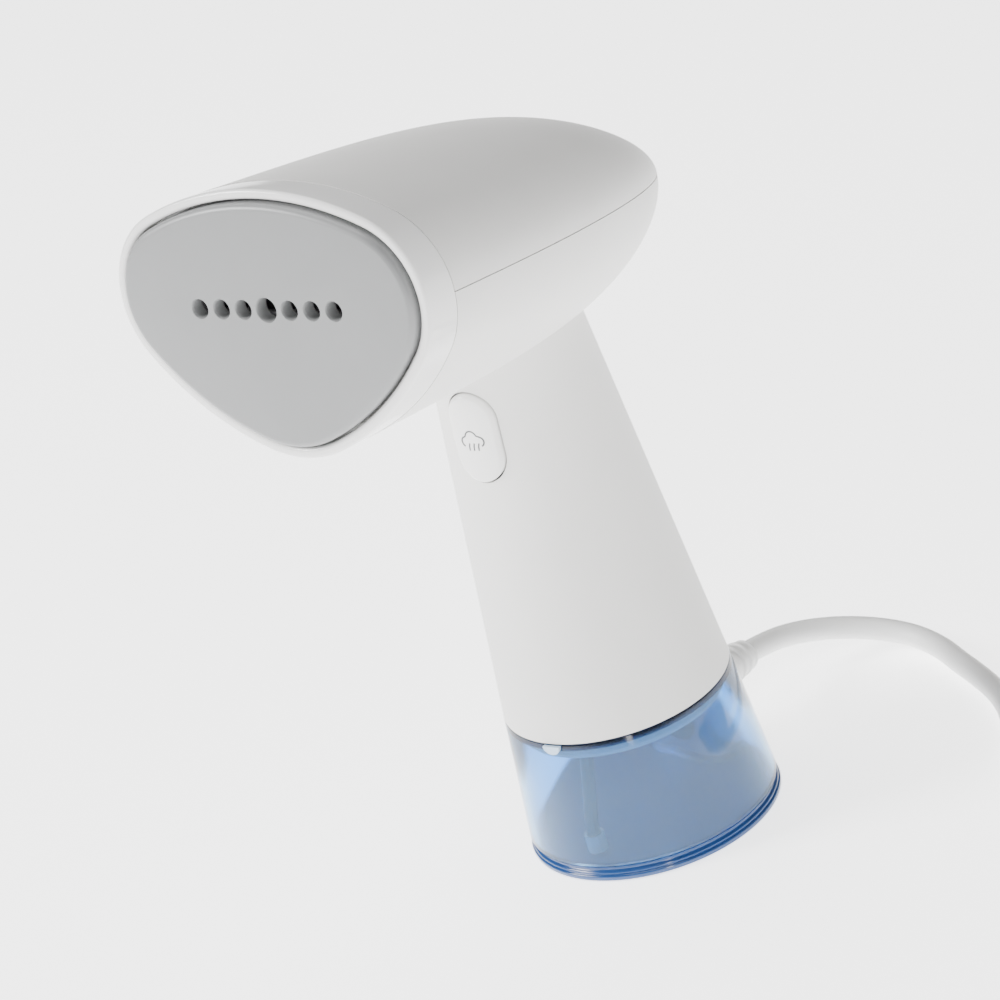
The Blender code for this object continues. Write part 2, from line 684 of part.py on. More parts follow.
def make_switch():
    """The switch box, and the plunger that the trigger pushes into it."""
    box = block((-0.0074, -0.0103, 0.1312), (0.0074, -0.0038, 0.1442), 0.0004)
    switch = add("switch_body", box, "black_plastic")
    bore = turned([(0, 0), (0.0022, 0), (0.0022, 0.0105), (0, 0.0105)], 12)
    cut(switch, add("switch_bore", bore, location=(0, -0.0153, PUSHER_Z), axis=(0, 1, 0)))
    plunger = turned([(0, 0), (0.0013, 0), (0.0018, 0.0005), (0.0018, 0.0050), (0, 0.0050)], 12)
    at = (0, PUSHER_BACK_Y + GAP, PUSHER_Z)
    add("switch_plunger", plunger, "black_plastic", location=at, axis=(0, 1, 0))


def make_electrics():
    make_switch()
    back = FRAME_Y + FRAME_T + GAP
    terminals = block((-0.011, back, 0.0620), (0.011, back + 0.009, 0.0740), 0.0006)
    terminals = add("terminal_block", terminals, "natural_plastic")
    clamp = block((-0.0112, back, CLAMP_Z - 0.0025), (0.0112, back + 0.004, CLAMP_Z + 0.0025), 0.0005)
    clamp = add("cord_clamp", clamp, "natural_plastic")
    frame = bpy.data.objects["handle_frame"]
    for side in (-1, 1):
        number = (side + 3) // 2
        low = (side * TERMINAL_X - 2 * LEAD_R, back + 0.0025, 0.0600)
        high = (side * TERMINAL_X + 2 * LEAD_R, back + 0.0070, 0.0705)
        cut(terminals, add(f"terminal_way_{number}", block(low, high)))
        lead = [
            (0.0018, 0.0261, 0.0241), (0.0018, 0.0253, 0.0252), (0.0020, 0.0250, 0.0275),
            (0.0022, 0.0250, 0.0330), (0.0024, 0.0250, 0.0390), (0.0026, 0.0247, 0.0440),
            (0.0028, 0.0232, 0.0500), (0.0033, 0.0208, 0.0560), (0.0050, 0.0184, 0.0625),
            (TERMINAL_X, 0.0179, 0.0655), (TERMINAL_X, 0.0178, 0.0690),
        ]
        lead = [(side * x, y, z) for x, y, z in lead]
        rod(f"supply_lead_{number}", lead, LEAD_R, "black_plastic", 0.005)
        x = side * CLAMP_SCREW_X
        screw(f"clamp_screw_{number}", (x, back + 0.0043, CLAMP_Z), (0, -1, 0), 0.0055)
        hole = screw_hole(f"clamp_screw_hole_{number}", (x, 0.021, CLAMP_Z), (0, -1, 0), 0.012)
        cut(clamp, hole)
        cut(frame, hole)


# ---------------------------------------------------------------- trigger


def trigger_face(offset, proud):
    """The trigger's outline laid on the handle's taper, raised by proud."""
    made = []
    for x, z in stadium(offset):
        r = taper_r(TRIGGER_Z + z) + proud
        made.append((x, -math.sqrt(r * r - x * x), z))
    return made


def make_trigger():
    pivot = empty("trigger_slide", (0, 0, TRIGGER_Z))
    skirt = [
        (-0.0018, TRIGGER_POCKET_Y), (-0.0018, TRIGGER_BACK_Y), (0.0015, TRIGGER_BACK_Y),
        (0.0015, TRIGGER_FLANGE_Y), (0, TRIGGER_FLANGE_Y),
    ]
    rings = [[(x, y, z) for x, z in stadium(offset)] for offset, y in skirt]
    crown = [
        (0, 0), (-0.0004, 0.0007), (-0.0014, TRIGGER_PROUD), (-0.0045, TRIGGER_PROUD + 0.0002),
    ]
    rings += [trigger_face(offset, proud) for offset, proud in crown]
    trigger = add("trigger", skin(rings), "bezel_white", pivot)
    pusher = turned([(0, 0), (0.0012, 0), (0.0016, 0.0005), (0.0016, 0.0088), (0, 0.0088)], 12)
    at = (0, PUSHER_BACK_Y, PUSHER_Z - TRIGGER_Z)
    cut(trigger, add("trigger_pusher", pusher, None, pivot, at, (0, -1, 0)), "UNION")
    start = (0, TRIGGER_POCKET_Y + GAP, SPRING_Z)
    length = SPRING_SEAT_Y - TRIGGER_POCKET_Y - 2 * GAP
    spring("trigger_spring", start, (0, 1, 0), length, 0.0024, 0.00025, 6, "steel")


# ---------------------------------------------------------------- head


def make_shell(name, upper, frame):
    """One half shell of the head, between an outer and an inner skin that both close at the tail."""
    shift = GAP / 2 if upper else -GAP / 2
    rings = []
    count = 15
    for i in range(count + 1):
        t = 1 - (1 - i / count) ** 1.9
        ring = []
        for inset in (0.0, HEAD_WALL):
            s = SHELL_FRONT + (HEAD_LENGTH - inset - SHELL_FRONT) * t
            half = [(x, y, v + shift) for x, y, v in head_half(s, inset, upper)]
            ring += half[::-1] if inset else half
        rings.append(ring)
    return add(name, skin(rings), "shell_white", frame)


def make_head_shells(frame):
    make_shell("head_top_shell", True, frame)
    lower = make_shell("head_lower_shell", False, frame)
    play = 0.00035
    neck = [(0, 0.13), (taper_r(0.13) + play, 0.13), (taper_r(0.19) + play, 0.19), (0, 0.19)]
    cut(lower, add("neck_hole", turned(neck, ROUND_STEPS)))
    outer = [head_whole(BEZEL_BACK, 0), head_whole(0.0034, 0), head_loop(LIP - 0.0010, 0.0024)]
    inner = [
        head_loop(0.0010, BEZEL_FRONT), head_loop(0, 0.0026), head_loop(0, 0.0079),
        head_loop(-0.0045, 0.0079), head_loop(-0.0045, 0.0096), head_loop(0.0010, 0.0096),
        head_loop(0.0010, BEZEL_BACK),
    ]
    bezel = add("front_bezel", skin(outer + inner, closed=True), "bezel_white", frame)
    return bezel


def make_plate(frame):
    rings = [
        head_loop(-0.0032, 0.0), head_loop(-0.0018, 0.0004), head_loop(-PLATE_INSET, 0.0016),
        head_loop(-PLATE_INSET, PLATE_T),
    ]
    plate = add("steam_plate", skin(rings), "plate_grey", frame)
    places = [0.0] + [side * (HOLE_FIRST + HOLE_PITCH * i) for side in (-1, 1) for i in range(3)]
    for i, x in enumerate(sorted(places)):
        r = HOLE_R if x else MIDDLE_HOLE_R
        hole = turned([(0, -0.001), (r + 0.0014, -0.001), (r, 0.0004), (r, 0.006), (0, 0.006)], 16)
        cut(plate, add(f"steam_hole_{i + 1}", hole, None, frame, (x, 0, 0), (0, 1, 0)))
    section = [(-0.0018, 0.0045), (-0.0018, 0.0076), (-0.0042, 0.0076), (-0.0042, 0.0045)]
    gasket = [head_loop(offset, s) for offset, s in section]
    add("plate_gasket", skin(gasket, closed=True), "silicone", frame)


def make_chamber(frame, bezel):
    """The die-cast steam chamber, open to the front, with its cover."""
    cover = skin([head_loop(CHAMBER_WALL, s) for s in (0.0045, 0.0063)])
    cover = add("chamber_cover", cover, "die_cast", frame)
    slot = block((-0.026, 0.0, -0.002), (0.026, 0.01, 0.002))
    cut(cover, add("cover_slot", slot, None, frame))
    section = [
        (-0.0115, 0.0200), (-0.0115, CHAMBER_FRONT), (CHAMBER_WALL, CHAMBER_FRONT),
        (CHAMBER_WALL, 0.0099), (-0.0015, 0.0099), (-0.0015, 0.0120),
        (-0.0085, 0.0120), (-0.0140, CHAMBER_BACK),
    ]
    rings = [head_loop(offset, s) for offset, s in section]
    chamber = add("steam_chamber", skin(rings), "die_cast", frame)
    top, low = plate_outline(FLANGE_SCREWS)
    right = CORNER_X + CORNER_R + FLANGE_SCREWS
    places = [(right, CORNER_V), (0, max(v for _, v in top)), (-right, CORNER_V)]
    places.append((0, min(v for _, v in low)))
    for i, (x, v) in enumerate(places):
        hole = screw_hole(f"chamber_screw_hole_{i + 1}", (x, 0.0083, v), (0, 1, 0), parent=frame)
        cut(chamber, hole)
        cut(bezel, hole)
        screw(f"chamber_screw_{i + 1}", (x, 0.0123, v), (0, -1, 0), 0.0036, frame)
    hole = turned([(0, 0.010), (0.0022, 0.010), (0.0022, 0.030), (0, 0.030)], 12)
    cut(chamber, add("nozzle_hole", hole, None, frame, (0, 0, NOZZLE_V), (0, 1, 0)))
    nozzle = [(0.0011, 0.0215), (0.0019, 0.0215), (0.0019, 0.0360), (0.0011, 0.0360)]
    add("chamber_nozzle", turned(nozzle, 12), "brass", frame, (0, 0, NOZZLE_V), (0, 1, 0))


def make_heater(frame):
    """The sheathed element bent once across the chamber's back, with its thermostat and fuse."""
    back = CHAMBER_BACK + GAP
    seat = back + ELEMENT_R + 0.0002
    lead_in = [(-0.0320, back + 0.0150), (-0.0315, back + 0.0080), (-0.0260, back + 0.0034)]
    upper, lower = ELEMENT_V
    middle, bend_r = (upper + lower) / 2, (upper - lower) / 2
    route = [(x, s, upper) for x, s in lead_in]
    route += [(x, seat, upper) for x in (-0.014, 0.000, 0.014)]
    for i in range(7):
        a = math.pi / 2 - math.pi * i / 6
        route.append((0.017 + bend_r * math.cos(a), seat, middle + bend_r * math.sin(a)))
    route += [(x, seat, lower) for x in (0.014, 0.000, -0.014)]
    route += [(x, s, lower) for x, s in lead_in[::-1]]
    rod("heating_element", route, ELEMENT_R, "steel", 0.006, frame)
    disc = [(0, 0), (0.0068, 0), (0.0068, 0.0018), (0.0058, 0.0018), (0.0058, 0.0075), (0, 0.0075)]
    add("thermostat", turned(disc, 20), "black_plastic", frame, (-0.004, back, -0.003), (0, 1, 0))
    fuse = [(0, 0), (0.0014, 0), (0.0021, 0.002), (0.0021, 0.014), (0.0014, 0.016), (0, 0.016)]
    add("thermal_fuse", turned(fuse, 12), "steel", frame, (-0.012, back + 0.0022, 0.0140), (1, 0, 0))


# ---------------------------------------------------------------- cord


def guard_axis():
    return (0, math.cos(GUARD_DROP), -math.sin(GUARD_DROP))


def make_cord():
    guard = [
        (0, -0.0092), (0.0092, -0.0092), (0.0092, -0.0076), (0.0080, -0.0076), (0.0080, 0.0020),
        (0.0078, 0.0080), (0.0072, 0.0140), (0.0062, 0.0190), (0.0051, 0.0222),
        (0.0042, GUARD_LENGTH), (0, GUARD_LENGTH),
    ]
    add("cord_guard", turned(guard, 20), "cord_white", location=GUARD_AT, axis=guard_axis())
    rod("power_cord_run", CORD_ROUTE, CORD_R, "cord_white", 0.006)
    inner, outer, top = COIL_INNER_R, COIL_OUTER_R, COIL_HEIGHT
    coil = [
        (inner, COIL_BEVEL), (inner + COIL_BEVEL, 0), (outer - COIL_BEVEL, 0), (outer, COIL_BEVEL),
        (outer, top - COIL_BEVEL), (outer - COIL_BEVEL, top), (inner + COIL_BEVEL, top),
        (inner, top - COIL_BEVEL),
    ]
    add("power_cord_coil", turned(coil, 40), "cord_white", location=(COIL_X, COIL_Y, 0))
    rod("power_cord_tail", TAIL_ROUTE, CORD_R, "cord_white", 0.007)


def rounded_box_ring(half_w, half_h, x):
    """An upright rounded rectangle across X, for the plug's body."""
    corner = 0.4 * min(half_w, half_h)
    ring = []
    for k, (sy, sz) in enumerate([(1, 1), (-1, 1), (-1, -1), (1, -1)]):
        for i in range(3):
            a = math.pi / 2 * (k + i / 2)
            y = sy * (half_w - corner) + corner * math.cos(a)
            z = sz * (half_h - corner) + corner * math.sin(a)
            ring.append((x, y, z))
    return ring


def make_mains_plug():
    """A two-blade plug that lies on its side beside the coil, with its blades along its own -X."""
    stations = [
        (0, 0.0040, 0.0040), (-0.006, 0.0046, 0.0046), (-0.013, 0.0060, 0.0056),
        (-0.017, 0.0100, 0.0076), (-0.022, 0.0112, 0.0079), (-0.040, 0.0112, 0.0079),
        (-0.044, 0.0100, 0.0072),
    ]
    plug = empty("mains_plug", PLUG_AT)
    plug.rotation_euler = (0, 0, PLUG_TURN)
    body = skin([rounded_box_ring(w, h, x) for x, w, h in stations])
    body = add("plug_body", body, "cord_white", plug)
    for side in (-1, 1):
        near, far = side * BLADE_Y - 0.0011, side * BLADE_Y + 0.0011
        socket = block((-0.06, near, -0.0035), (-0.036, far, 0.0035))
        cut(body, add(f"blade_socket_{side + 2}", socket, None, plug))
        blade = block((-0.061, near + GAP, -0.0032), (-0.0363, far - GAP, 0.0032), 0.0004)
        add(f"plug_blade_{(side + 3) // 2}", blade, "brass", plug)


def main():
    clear_scene()
    make_tank()
    make_tank_plug()
    make_suction()
    make_sleeve()
    make_frame()
    make_pump()
    make_electrics()
    make_trigger()
    head = empty("head_frame", (0, HEAD_Y, HEAD_Z), -HEAD_TILT)
    bezel = make_head_shells(head)
    make_plate(head)
    make_chamber(head, bezel)
    make_heater(head)
    pipe("delivery_hose", DELIVERY_ROUTE, HOSE_R, HOSE_BORE, "silicone", 0.007)
    make_cord()
    make_mains_plug()


main()
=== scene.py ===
"""Looks for the handheld steamer: fine shells, a clear tank and a real cord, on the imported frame."""
import json
import math

import bmesh
import bpy
import numpy as np
from mathutils import Matrix, Vector


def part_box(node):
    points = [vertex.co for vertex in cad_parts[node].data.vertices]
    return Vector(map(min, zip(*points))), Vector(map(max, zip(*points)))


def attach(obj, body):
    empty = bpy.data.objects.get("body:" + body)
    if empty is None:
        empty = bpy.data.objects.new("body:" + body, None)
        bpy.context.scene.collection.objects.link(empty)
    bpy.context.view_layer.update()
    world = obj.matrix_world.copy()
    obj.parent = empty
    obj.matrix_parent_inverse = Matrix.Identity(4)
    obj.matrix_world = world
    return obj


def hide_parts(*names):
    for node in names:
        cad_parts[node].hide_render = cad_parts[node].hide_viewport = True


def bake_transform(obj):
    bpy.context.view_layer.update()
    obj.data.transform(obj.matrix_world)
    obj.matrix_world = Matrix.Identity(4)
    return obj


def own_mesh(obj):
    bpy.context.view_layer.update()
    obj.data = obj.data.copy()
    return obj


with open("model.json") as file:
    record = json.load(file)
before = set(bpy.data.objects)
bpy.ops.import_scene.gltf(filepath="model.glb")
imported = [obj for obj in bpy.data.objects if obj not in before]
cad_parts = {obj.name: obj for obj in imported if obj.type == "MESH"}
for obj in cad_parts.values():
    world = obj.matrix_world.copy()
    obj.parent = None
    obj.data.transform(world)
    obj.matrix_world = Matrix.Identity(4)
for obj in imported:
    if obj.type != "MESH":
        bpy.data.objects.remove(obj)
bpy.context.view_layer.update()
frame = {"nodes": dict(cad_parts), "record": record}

GAP = 0.0003

# Camera, as an orbit round a point on the handle.
CAMERA_AZIMUTH = math.radians(42.714)
CAMERA_ELEVATION = math.radians(24.246)
CAMERA_ROLL = math.radians(-18.0)
CAMERA_DISTANCE = 1.47645
CAMERA_TARGET = (-0.02124, 0.0, 0.10406)
LENS_MM = 185.2
SENSOR_MM = 36.0

# Tank and handle tapers.
FOOT_R = 0.0379
SEAM_Z = 0.044
SEAM_R = 0.0340
NECK_Z = 0.1537
NECK_R = 0.0235
TANK_FLOOR_Z = 0.0048
TANK_WALL = 0.0018
SLEEVE_WALL = 0.0022
SLEEVE_TOP_Z = 0.170
SLOT_HALF_W = 0.0122
SLOT_Y = 0.0208
SLOT_FILLET = 0.003
TONGUE_PLAY = 0.0004
TONGUE_FOOT_Z = 0.0066
ROUND_STEPS = 144

# Head, in its own frame: the middle of the steam plate, tilted to face slightly upwards.
HEAD_AT = (0.0, -0.0869, 0.2126)
HEAD_TILT = math.radians(8.17)
HEAD_LENGTH = 0.1419
HEAD_WALL = 0.0022
LIP = 0.00334
LIP_ROUND = 0.0012
BEZEL_FRONT = 0.0022
BEZEL_BACK = 0.01385
SHELL_FRONT = 0.01415
PARTING_SLOPE = -0.061
TOP_SAG = 0.0094
KEEL_SAG = 0.0085
CORNER_X = 0.02793
CORNER_V = 0.00174
CORNER_R = 0.02242
CHIN_V = -0.00891
CHIN_R = 0.03094
BROW_R = 0.09277
CHEEK_R = 0.0848
PLATE_GAP = 0.0005
PLATE_ROUND = 0.0019
PLATE_T = 0.0042
HOLE_R = 0.00258
MIDDLE_HOLE_R = 0.00326
HOLE_FIRST = 0.00806
HOLE_PITCH = 0.00764
ARC_STEPS = 16

# Trigger.
TRIGGER_Z = 0.1392
TRIGGER_HALF_W = 0.008
TRIGGER_HALF_H = 0.0133
TRIGGER_PROUD = 0.0013
TRIGGER_GAP = 0.0005
TRIGGER_FLANGE_Y = -0.0189
TRIGGER_BACK_Y = -0.0173
ICON_Z = 0.1385

# Springs: points along each turn of the wire.
SPRING_STEPS = 20

# Cord, guard, coil and plug.
CORD_R = 0.0035
GUARD_AT = (0.0, 0.0363, 0.022)
GUARD_DROP = math.radians(10)
GUARD_LENGTH = 0.0235
GUARD_HOLE_R = 0.0083
CORD_ROUTE = [
    (0.0, 0.05974, 0.01787),
    (0.0, 0.0640, 0.0171),
    (0.0019, 0.0746, 0.0148),
    (0.0073, 0.0839, 0.0121),
    (0.0155, 0.0908, 0.0093),
    (0.0256, 0.0945, 0.0069),
    (0.0364, 0.0945, 0.0052),
    (0.0470, 0.0908, 0.0041),
    (0.0566, 0.0850, 0.0036),
    (0.0662, 0.0789, 0.0036),
    (0.0757, 0.0723, 0.0036),
    (0.0846, 0.0646, 0.0036),
    (0.0923, 0.0554, 0.0036),
    (0.0988, 0.0455, 0.0036),
    (0.1058, 0.0360, 0.0036),
    (0.1146, 0.0281, 0.0036),
    (0.1250, 0.0221, 0.0036),
]
COIL_CENTRE = (0.150, 0.066)
COIL_TRACKS = (0.043, 0.036, 0.029)
COIL_REST_R = 0.0494
COIL_MEETS = math.radians(-116)
COIL_START = math.radians(-70)
COIL_SHIFT = (240, 360)
COIL_CLIMB = (230, 350)
COIL_LOW_Z = 0.0036
COIL_HIGH_Z = 0.0105
TAIL_ROUTE = [
    (0.1713, 0.1119, 0.0036),
    (0.1610, 0.1162, 0.0038),
    (0.1500, 0.1178, 0.0048),
    (0.1420, 0.1173, 0.0062),
    (0.1350, 0.1162, 0.0074),
    (0.1288, 0.1153, 0.0080),
]
PLUG_AT = (0.1278, 0.1152, 0.0080)
PLUG_TURN = math.radians(6)


# ---------------------------------------------------------------- camera


def make_camera():
    az, el, roll = CAMERA_AZIMUTH, CAMERA_ELEVATION, CAMERA_ROLL
    back = Vector((math.sin(az) * math.cos(el), -math.cos(az) * math.cos(el), math.sin(el)))
    level = Vector((0, 0, 1)).cross(back).normalized()
    up = back.cross(level)
    right = level * math.cos(roll) + up * math.sin(roll)
    up = up * math.cos(roll) - level * math.sin(roll)
    camera = bpy.data.objects.new("camera", bpy.data.cameras.new("camera"))
    bpy.context.scene.collection.objects.link(camera)
    turn = Matrix((right, up, back)).transposed().to_4x4()
    camera.matrix_world = Matrix.Translation(Vector(CAMERA_TARGET) + back * CAMERA_DISTANCE) @ turn
    camera.data.lens = LENS_MM
    camera.data.sensor_width = SENSOR_MM
    bpy.context.scene.camera = camera


# ---------------------------------------------------------------- materials


def new_material(name, colour, roughness, metallic=0.0):
    made = bpy.data.materials.new(name)
    made.use_nodes = True
    shader = made.node_tree.nodes["Principled BSDF"]
    shader.inputs["Base Color"].default_value = (*colour, 1.0)
    shader.inputs["Roughness"].default_value = roughness
    shader.inputs["Metallic"].default_value = metallic
    return made, shader


def coordinates(tree):
    return tree.nodes.new("ShaderNodeTexCoord").outputs["Object"]


def noise(tree, scale, detail=3.0, stretch=None):
    texture = tree.nodes.new("ShaderNodeTexNoise")
    texture.inputs["Scale"].default_value = scale
    texture.inputs["Detail"].default_value = detail
    place = coordinates(tree)
    if stretch:
        mapping = tree.nodes.new("ShaderNodeMapping")
        mapping.inputs["Scale"].default_value = stretch
        tree.links.new(place, mapping.inputs["Vector"])
        place = mapping.outputs["Vector"]
    tree.links.new(place, texture.inputs["Vector"])
    return texture.outputs["Fac"]


def spread(tree, value, low, high):
    """Maps a noise value, which mostly lies between 0.3 and 0.7, to low and high."""
    mapped = tree.nodes.new("ShaderNodeMapRange")
    mapped.inputs["From Min"].default_value = 0.3
    mapped.inputs["From Max"].default_value = 0.7
    mapped.inputs["To Min"].default_value = low
    mapped.inputs["To Max"].default_value = high
    tree.links.new(value, mapped.inputs["Value"])
    return mapped.outputs["Result"]


def ramp(tree, value, stops):
    made = tree.nodes.new("ShaderNodeValToRGB")
    while len(made.color_ramp.elements) < len(stops):
        made.color_ramp.elements.new(0.5)
    for element, (at, colour) in zip(made.color_ramp.elements, stops):
        element.position = at
        element.color = (*colour, 1.0)
    tree.links.new(value, made.inputs["Fac"])
    return made.outputs["Color"]


def bumped(tree, shader, value, strength, distance):
    bump = tree.nodes.new("ShaderNodeBump")
    bump.inputs["Strength"].default_value = strength
    bump.inputs["Distance"].default_value = distance
    tree.links.new(value, bump.inputs["Height"])
    tree.links.new(bump.outputs["Normal"], shader.inputs["Normal"])


def moulded(name, light, dark, rough, grain, strength, metallic=0.0, depth=0.00008):
    """A moulded or cast surface: slight colour drift, a fine grain, and roughness that varies with it."""
    made, shader = new_material(name, light, rough[0], metallic)
    tree = made.node_tree
    drift = noise(tree, 60, 4)
    tree.links.new(ramp(tree, drift, [(0.3, dark), (0.7, light)]), shader.inputs["Base Color"])
    fine = noise(tree, grain, 4)
    tree.links.new(spread(tree, fine, *rough), shader.inputs["Roughness"])
    bumped(tree, shader, fine, strength, depth)
    return made


def shell_white():
    return moulded("shell_white", (0.80, 0.793, 0.775), (0.78, 0.773, 0.755), (0.40, 0.52), 2600, 0.30)


def bezel_white():
    return moulded("bezel_white", (0.88, 0.875, 0.865), (0.865, 0.86, 0.85), (0.10, 0.17), 500, 0.04)


def plate_grey():
    return moulded("plate_grey", (0.25, 0.254, 0.256), (0.24, 0.244, 0.246), (0.36, 0.46), 3200, 0.22, 0.1)


def tank_blue():
    """Clear blue plastic, slightly frosted, darker at its foot, with a nearly black band of painted shade at
    its rim.
    """
    made, shader = new_material("tank_blue", (0.28, 0.60, 0.97), 0.08)
    tree = made.node_tree
    shader.inputs["Transmission Weight"].default_value = 0.94
    shader.inputs["IOR"].default_value = 1.46
    axes = tree.nodes.new("ShaderNodeSeparateXYZ")
    tree.links.new(coordinates(tree), axes.inputs["Vector"])
    height = tree.nodes.new("ShaderNodeMapRange")
    height.inputs["From Max"].default_value = SEAM_Z
    tree.links.new(axes.outputs["Z"], height.inputs["Value"])
    # Blue that deepens towards the foot; the last two stops paint the rim nearly black as painted shade.
    tint_and_painted_rim_shade = [
        (0.0, (0.14, 0.42, 0.88)), (0.14, (0.25, 0.57, 0.96)), (0.6, (0.28, 0.60, 0.97)),
        (0.955, (0.23, 0.54, 0.93)), (0.962, (0.01, 0.03, 0.09)),
    ]
    tree.links.new(ramp(tree, height.outputs["Result"], tint_and_painted_rim_shade), shader.inputs["Base Color"])
    fine = noise(tree, 2200, 3)
    tree.links.new(spread(tree, fine, 0.06, 0.10), shader.inputs["Roughness"])
    bumped(tree, shader, fine, 0.12, 0.00006)
    return made


def base_blue():
    made = moulded("base_blue", (0.02, 0.085, 0.28), (0.018, 0.075, 0.25), (0.12, 0.20), 700, 0.05)
    shader = made.node_tree.nodes["Principled BSDF"]
    shader.inputs["Transmission Weight"].default_value = 0.2
    shader.inputs["Coat Weight"].default_value = 0.4
    shader.inputs["Coat Roughness"].default_value = 0.08
    return made


def cord_white():
    return moulded("cord_white", (0.81, 0.81, 0.80), (0.785, 0.785, 0.775), (0.36, 0.46), 1800, 0.15)


def tube_grey():
    return moulded("tube_grey", (0.02, 0.04, 0.07), (0.018, 0.035, 0.06), (0.35, 0.45), 1500, 0.10)


def natural_plastic():
    return moulded("natural_plastic", (0.72, 0.71, 0.66), (0.69, 0.68, 0.63), (0.40, 0.52), 1500, 0.15)


def black_plastic():
    return moulded("black_plastic", (0.035, 0.035, 0.037), (0.022, 0.022, 0.024), (0.38, 0.55), 1700, 0.25)


def silicone():
    made = moulded("silicone", (0.55, 0.55, 0.53), (0.50, 0.50, 0.48), (0.45, 0.60), 900, 0.15)
    made.node_tree.nodes["Principled BSDF"].inputs["Subsurface Weight"].default_value = 0.2
    return made


def die_cast():
    return moulded("die_cast", (0.62, 0.62, 0.63), (0.52, 0.52, 0.54), (0.34, 0.55), 700, 0.45, 1.0, 0.0002)


def steel():
    """Bright steel with fine lines along its length."""
    made, shader = new_material("steel", (0.62, 0.62, 0.63), 0.3, 1.0)
    tree = made.node_tree
    lines = noise(tree, 400, 3, (1.0, 1.0, 14.0))
    tree.links.new(spread(tree, lines, 0.22, 0.42), shader.inputs["Roughness"])
    bumped(tree, shader, lines, 0.12, 0.00005)
    return made


def brass():
    return moulded("brass", (0.78, 0.60, 0.30), (0.70, 0.52, 0.24), (0.20, 0.36), 900, 0.10, 1.0)


def copper():
    """Enamelled winding: close turns of wire round the coil's axis, with painted shade darkening the grooves
    between turns.
    """
    made, shader = new_material("copper", (0.72, 0.34, 0.16), 0.25, 1.0)
    tree = made.node_tree
    wave = tree.nodes.new("ShaderNodeTexWave")
    wave.bands_direction = "Z"
    wave.inputs["Scale"].default_value = 640
    tree.links.new(coordinates(tree), wave.inputs["Vector"])
    # Painted shade: the colour darkens with the bump's grooves between the turns.
    stops = [(0.0, (0.30, 0.11, 0.05)), (1.0, (0.80, 0.38, 0.18))]
    tree.links.new(ramp(tree, wave.outputs["Fac"], stops), shader.inputs["Base Color"])
    bumped(tree, shader, wave.outputs["Fac"], 0.6, 0.0002)
    return made


def icon_grey():
    return moulded("icon_grey", (0.09, 0.09, 0.095), (0.08, 0.08, 0.085), (0.38, 0.46), 2000, 0.05)


def nub_blue():
    return moulded("nub_blue", (0.50, 0.64, 0.80), (0.47, 0.61, 0.78), (0.25, 0.35), 1500, 0.08)


def floor_pale():
    """A white backlit sweep."""
    made = moulded("floor_pale", (0.93, 0.93, 0.93), (0.925, 0.925, 0.925), (0.55, 0.62), 30, 0.02)
    shader = made.node_tree.nodes["Principled BSDF"]
    shader.inputs["Emission Color"].default_value = (1.0, 1.0, 1.0, 1.0)
    shader.inputs["Emission Strength"].default_value = 2.7
    return made


MATERIALS = {
    made.__name__: made()
    for made in (
        shell_white, bezel_white, plate_grey, tank_blue, base_blue, cord_white, natural_plastic,
        black_plastic, silicone, die_cast, steel, brass, copper, icon_grey, nub_blue, tube_grey,
        floor_pale,
    )
}


def dress_frame():
    """Gives every CAD node the material of its record slot."""
    slots = {row["node"]: row["material_slot"] for row in frame["record"]["subparts"]}
    slots["dip_tube"] = "tube_grey"
    for name, node in frame["nodes"].items():
        node.data.materials.clear()
        node.data.materials.append(MATERIALS[slots[name]])


# ---------------------------------------------------------------- mesh tools


def skin(rings, closed=False, capped=True):
    """A mesh through rings that have the same number of points; closed joins the last to the first."""
    bm = bmesh.new()
    rows = [[bm.verts.new(point) for point in ring] for ring in rings]
    pairs = list(zip(rows, rows[1:]))
    if closed:
        pairs.append((rows[-1], rows[0]))
    for low, high in pairs:
        for i in range(len(low)):
            j = (i + 1) % len(low)
            bm.faces.new((low[i], low[j], high[j], high[i]))
    if capped and not closed:
        bm.faces.new(rows[0][::-1])
        bm.faces.new(rows[-1])
    bmesh.ops.remove_doubles(bm, verts=bm.verts, dist=1e-6)
    bmesh.ops.recalc_face_normals(bm, faces=bm.faces)
    return bm


def turned(profile, steps=64):
    """A body of revolution about Z. A profile that starts on the axis is solid, any other is a ring."""
    angles = [2 * math.pi * (i + 0.5) / steps for i in range(steps)]
    rings = [[(r * math.cos(a), r * math.sin(a), z) for a in angles] for r, z in profile]
    return skin(rings, closed=profile[0][0] > 0, capped=False)


def rounded(profile, radius, steps=5, keep=()):
    """A (r, z) profile with its inner corners rounded; keep lists the corners left sharp."""
    made = [profile[0]]
    for i in range(1, len(profile) - 1):
        before, corner, after = (Vector(profile[k]) for k in (i - 1, i, i + 1))
        reach = min(radius, 0.45 * (before - corner).length, 0.45 * (after - corner).length)
        if i in keep or reach < 1e-6:
            made.append(tuple(corner))
            continue
        start = corner + (before - corner).normalized() * reach
        end = corner + (after - corner).normalized() * reach
        for k in range(steps + 1):
            t = k / steps
            made.append(tuple(start * (1 - t) ** 2 + corner * 2 * t * (1 - t) + end * t**2))
    made.append(profile[-1])
    return made


def add(name, bm, slot=None, location=(0, 0, 0), axis=None, sharp=35):
    """A named object from a mesh, with its own Z turned to axis. One without a slot is a cutter."""
    mesh = bpy.data.meshes.new(name)
    if axis is not None:
        turn = Vector(axis).to_track_quat("Z", "Y").to_matrix().to_4x4()
        bm.transform(turn)
    bm.transform(Matrix.Translation(location))
    bm.to_mesh(mesh)
    bm.free()
    mesh.shade_smooth()
    mesh.set_sharp_from_angle(angle=math.radians(sharp))
    made = bpy.data.objects.new(name, mesh)
    bpy.context.scene.collection.objects.link(made)
    if slot:
        mesh.materials.append(MATERIALS[slot])
    return made


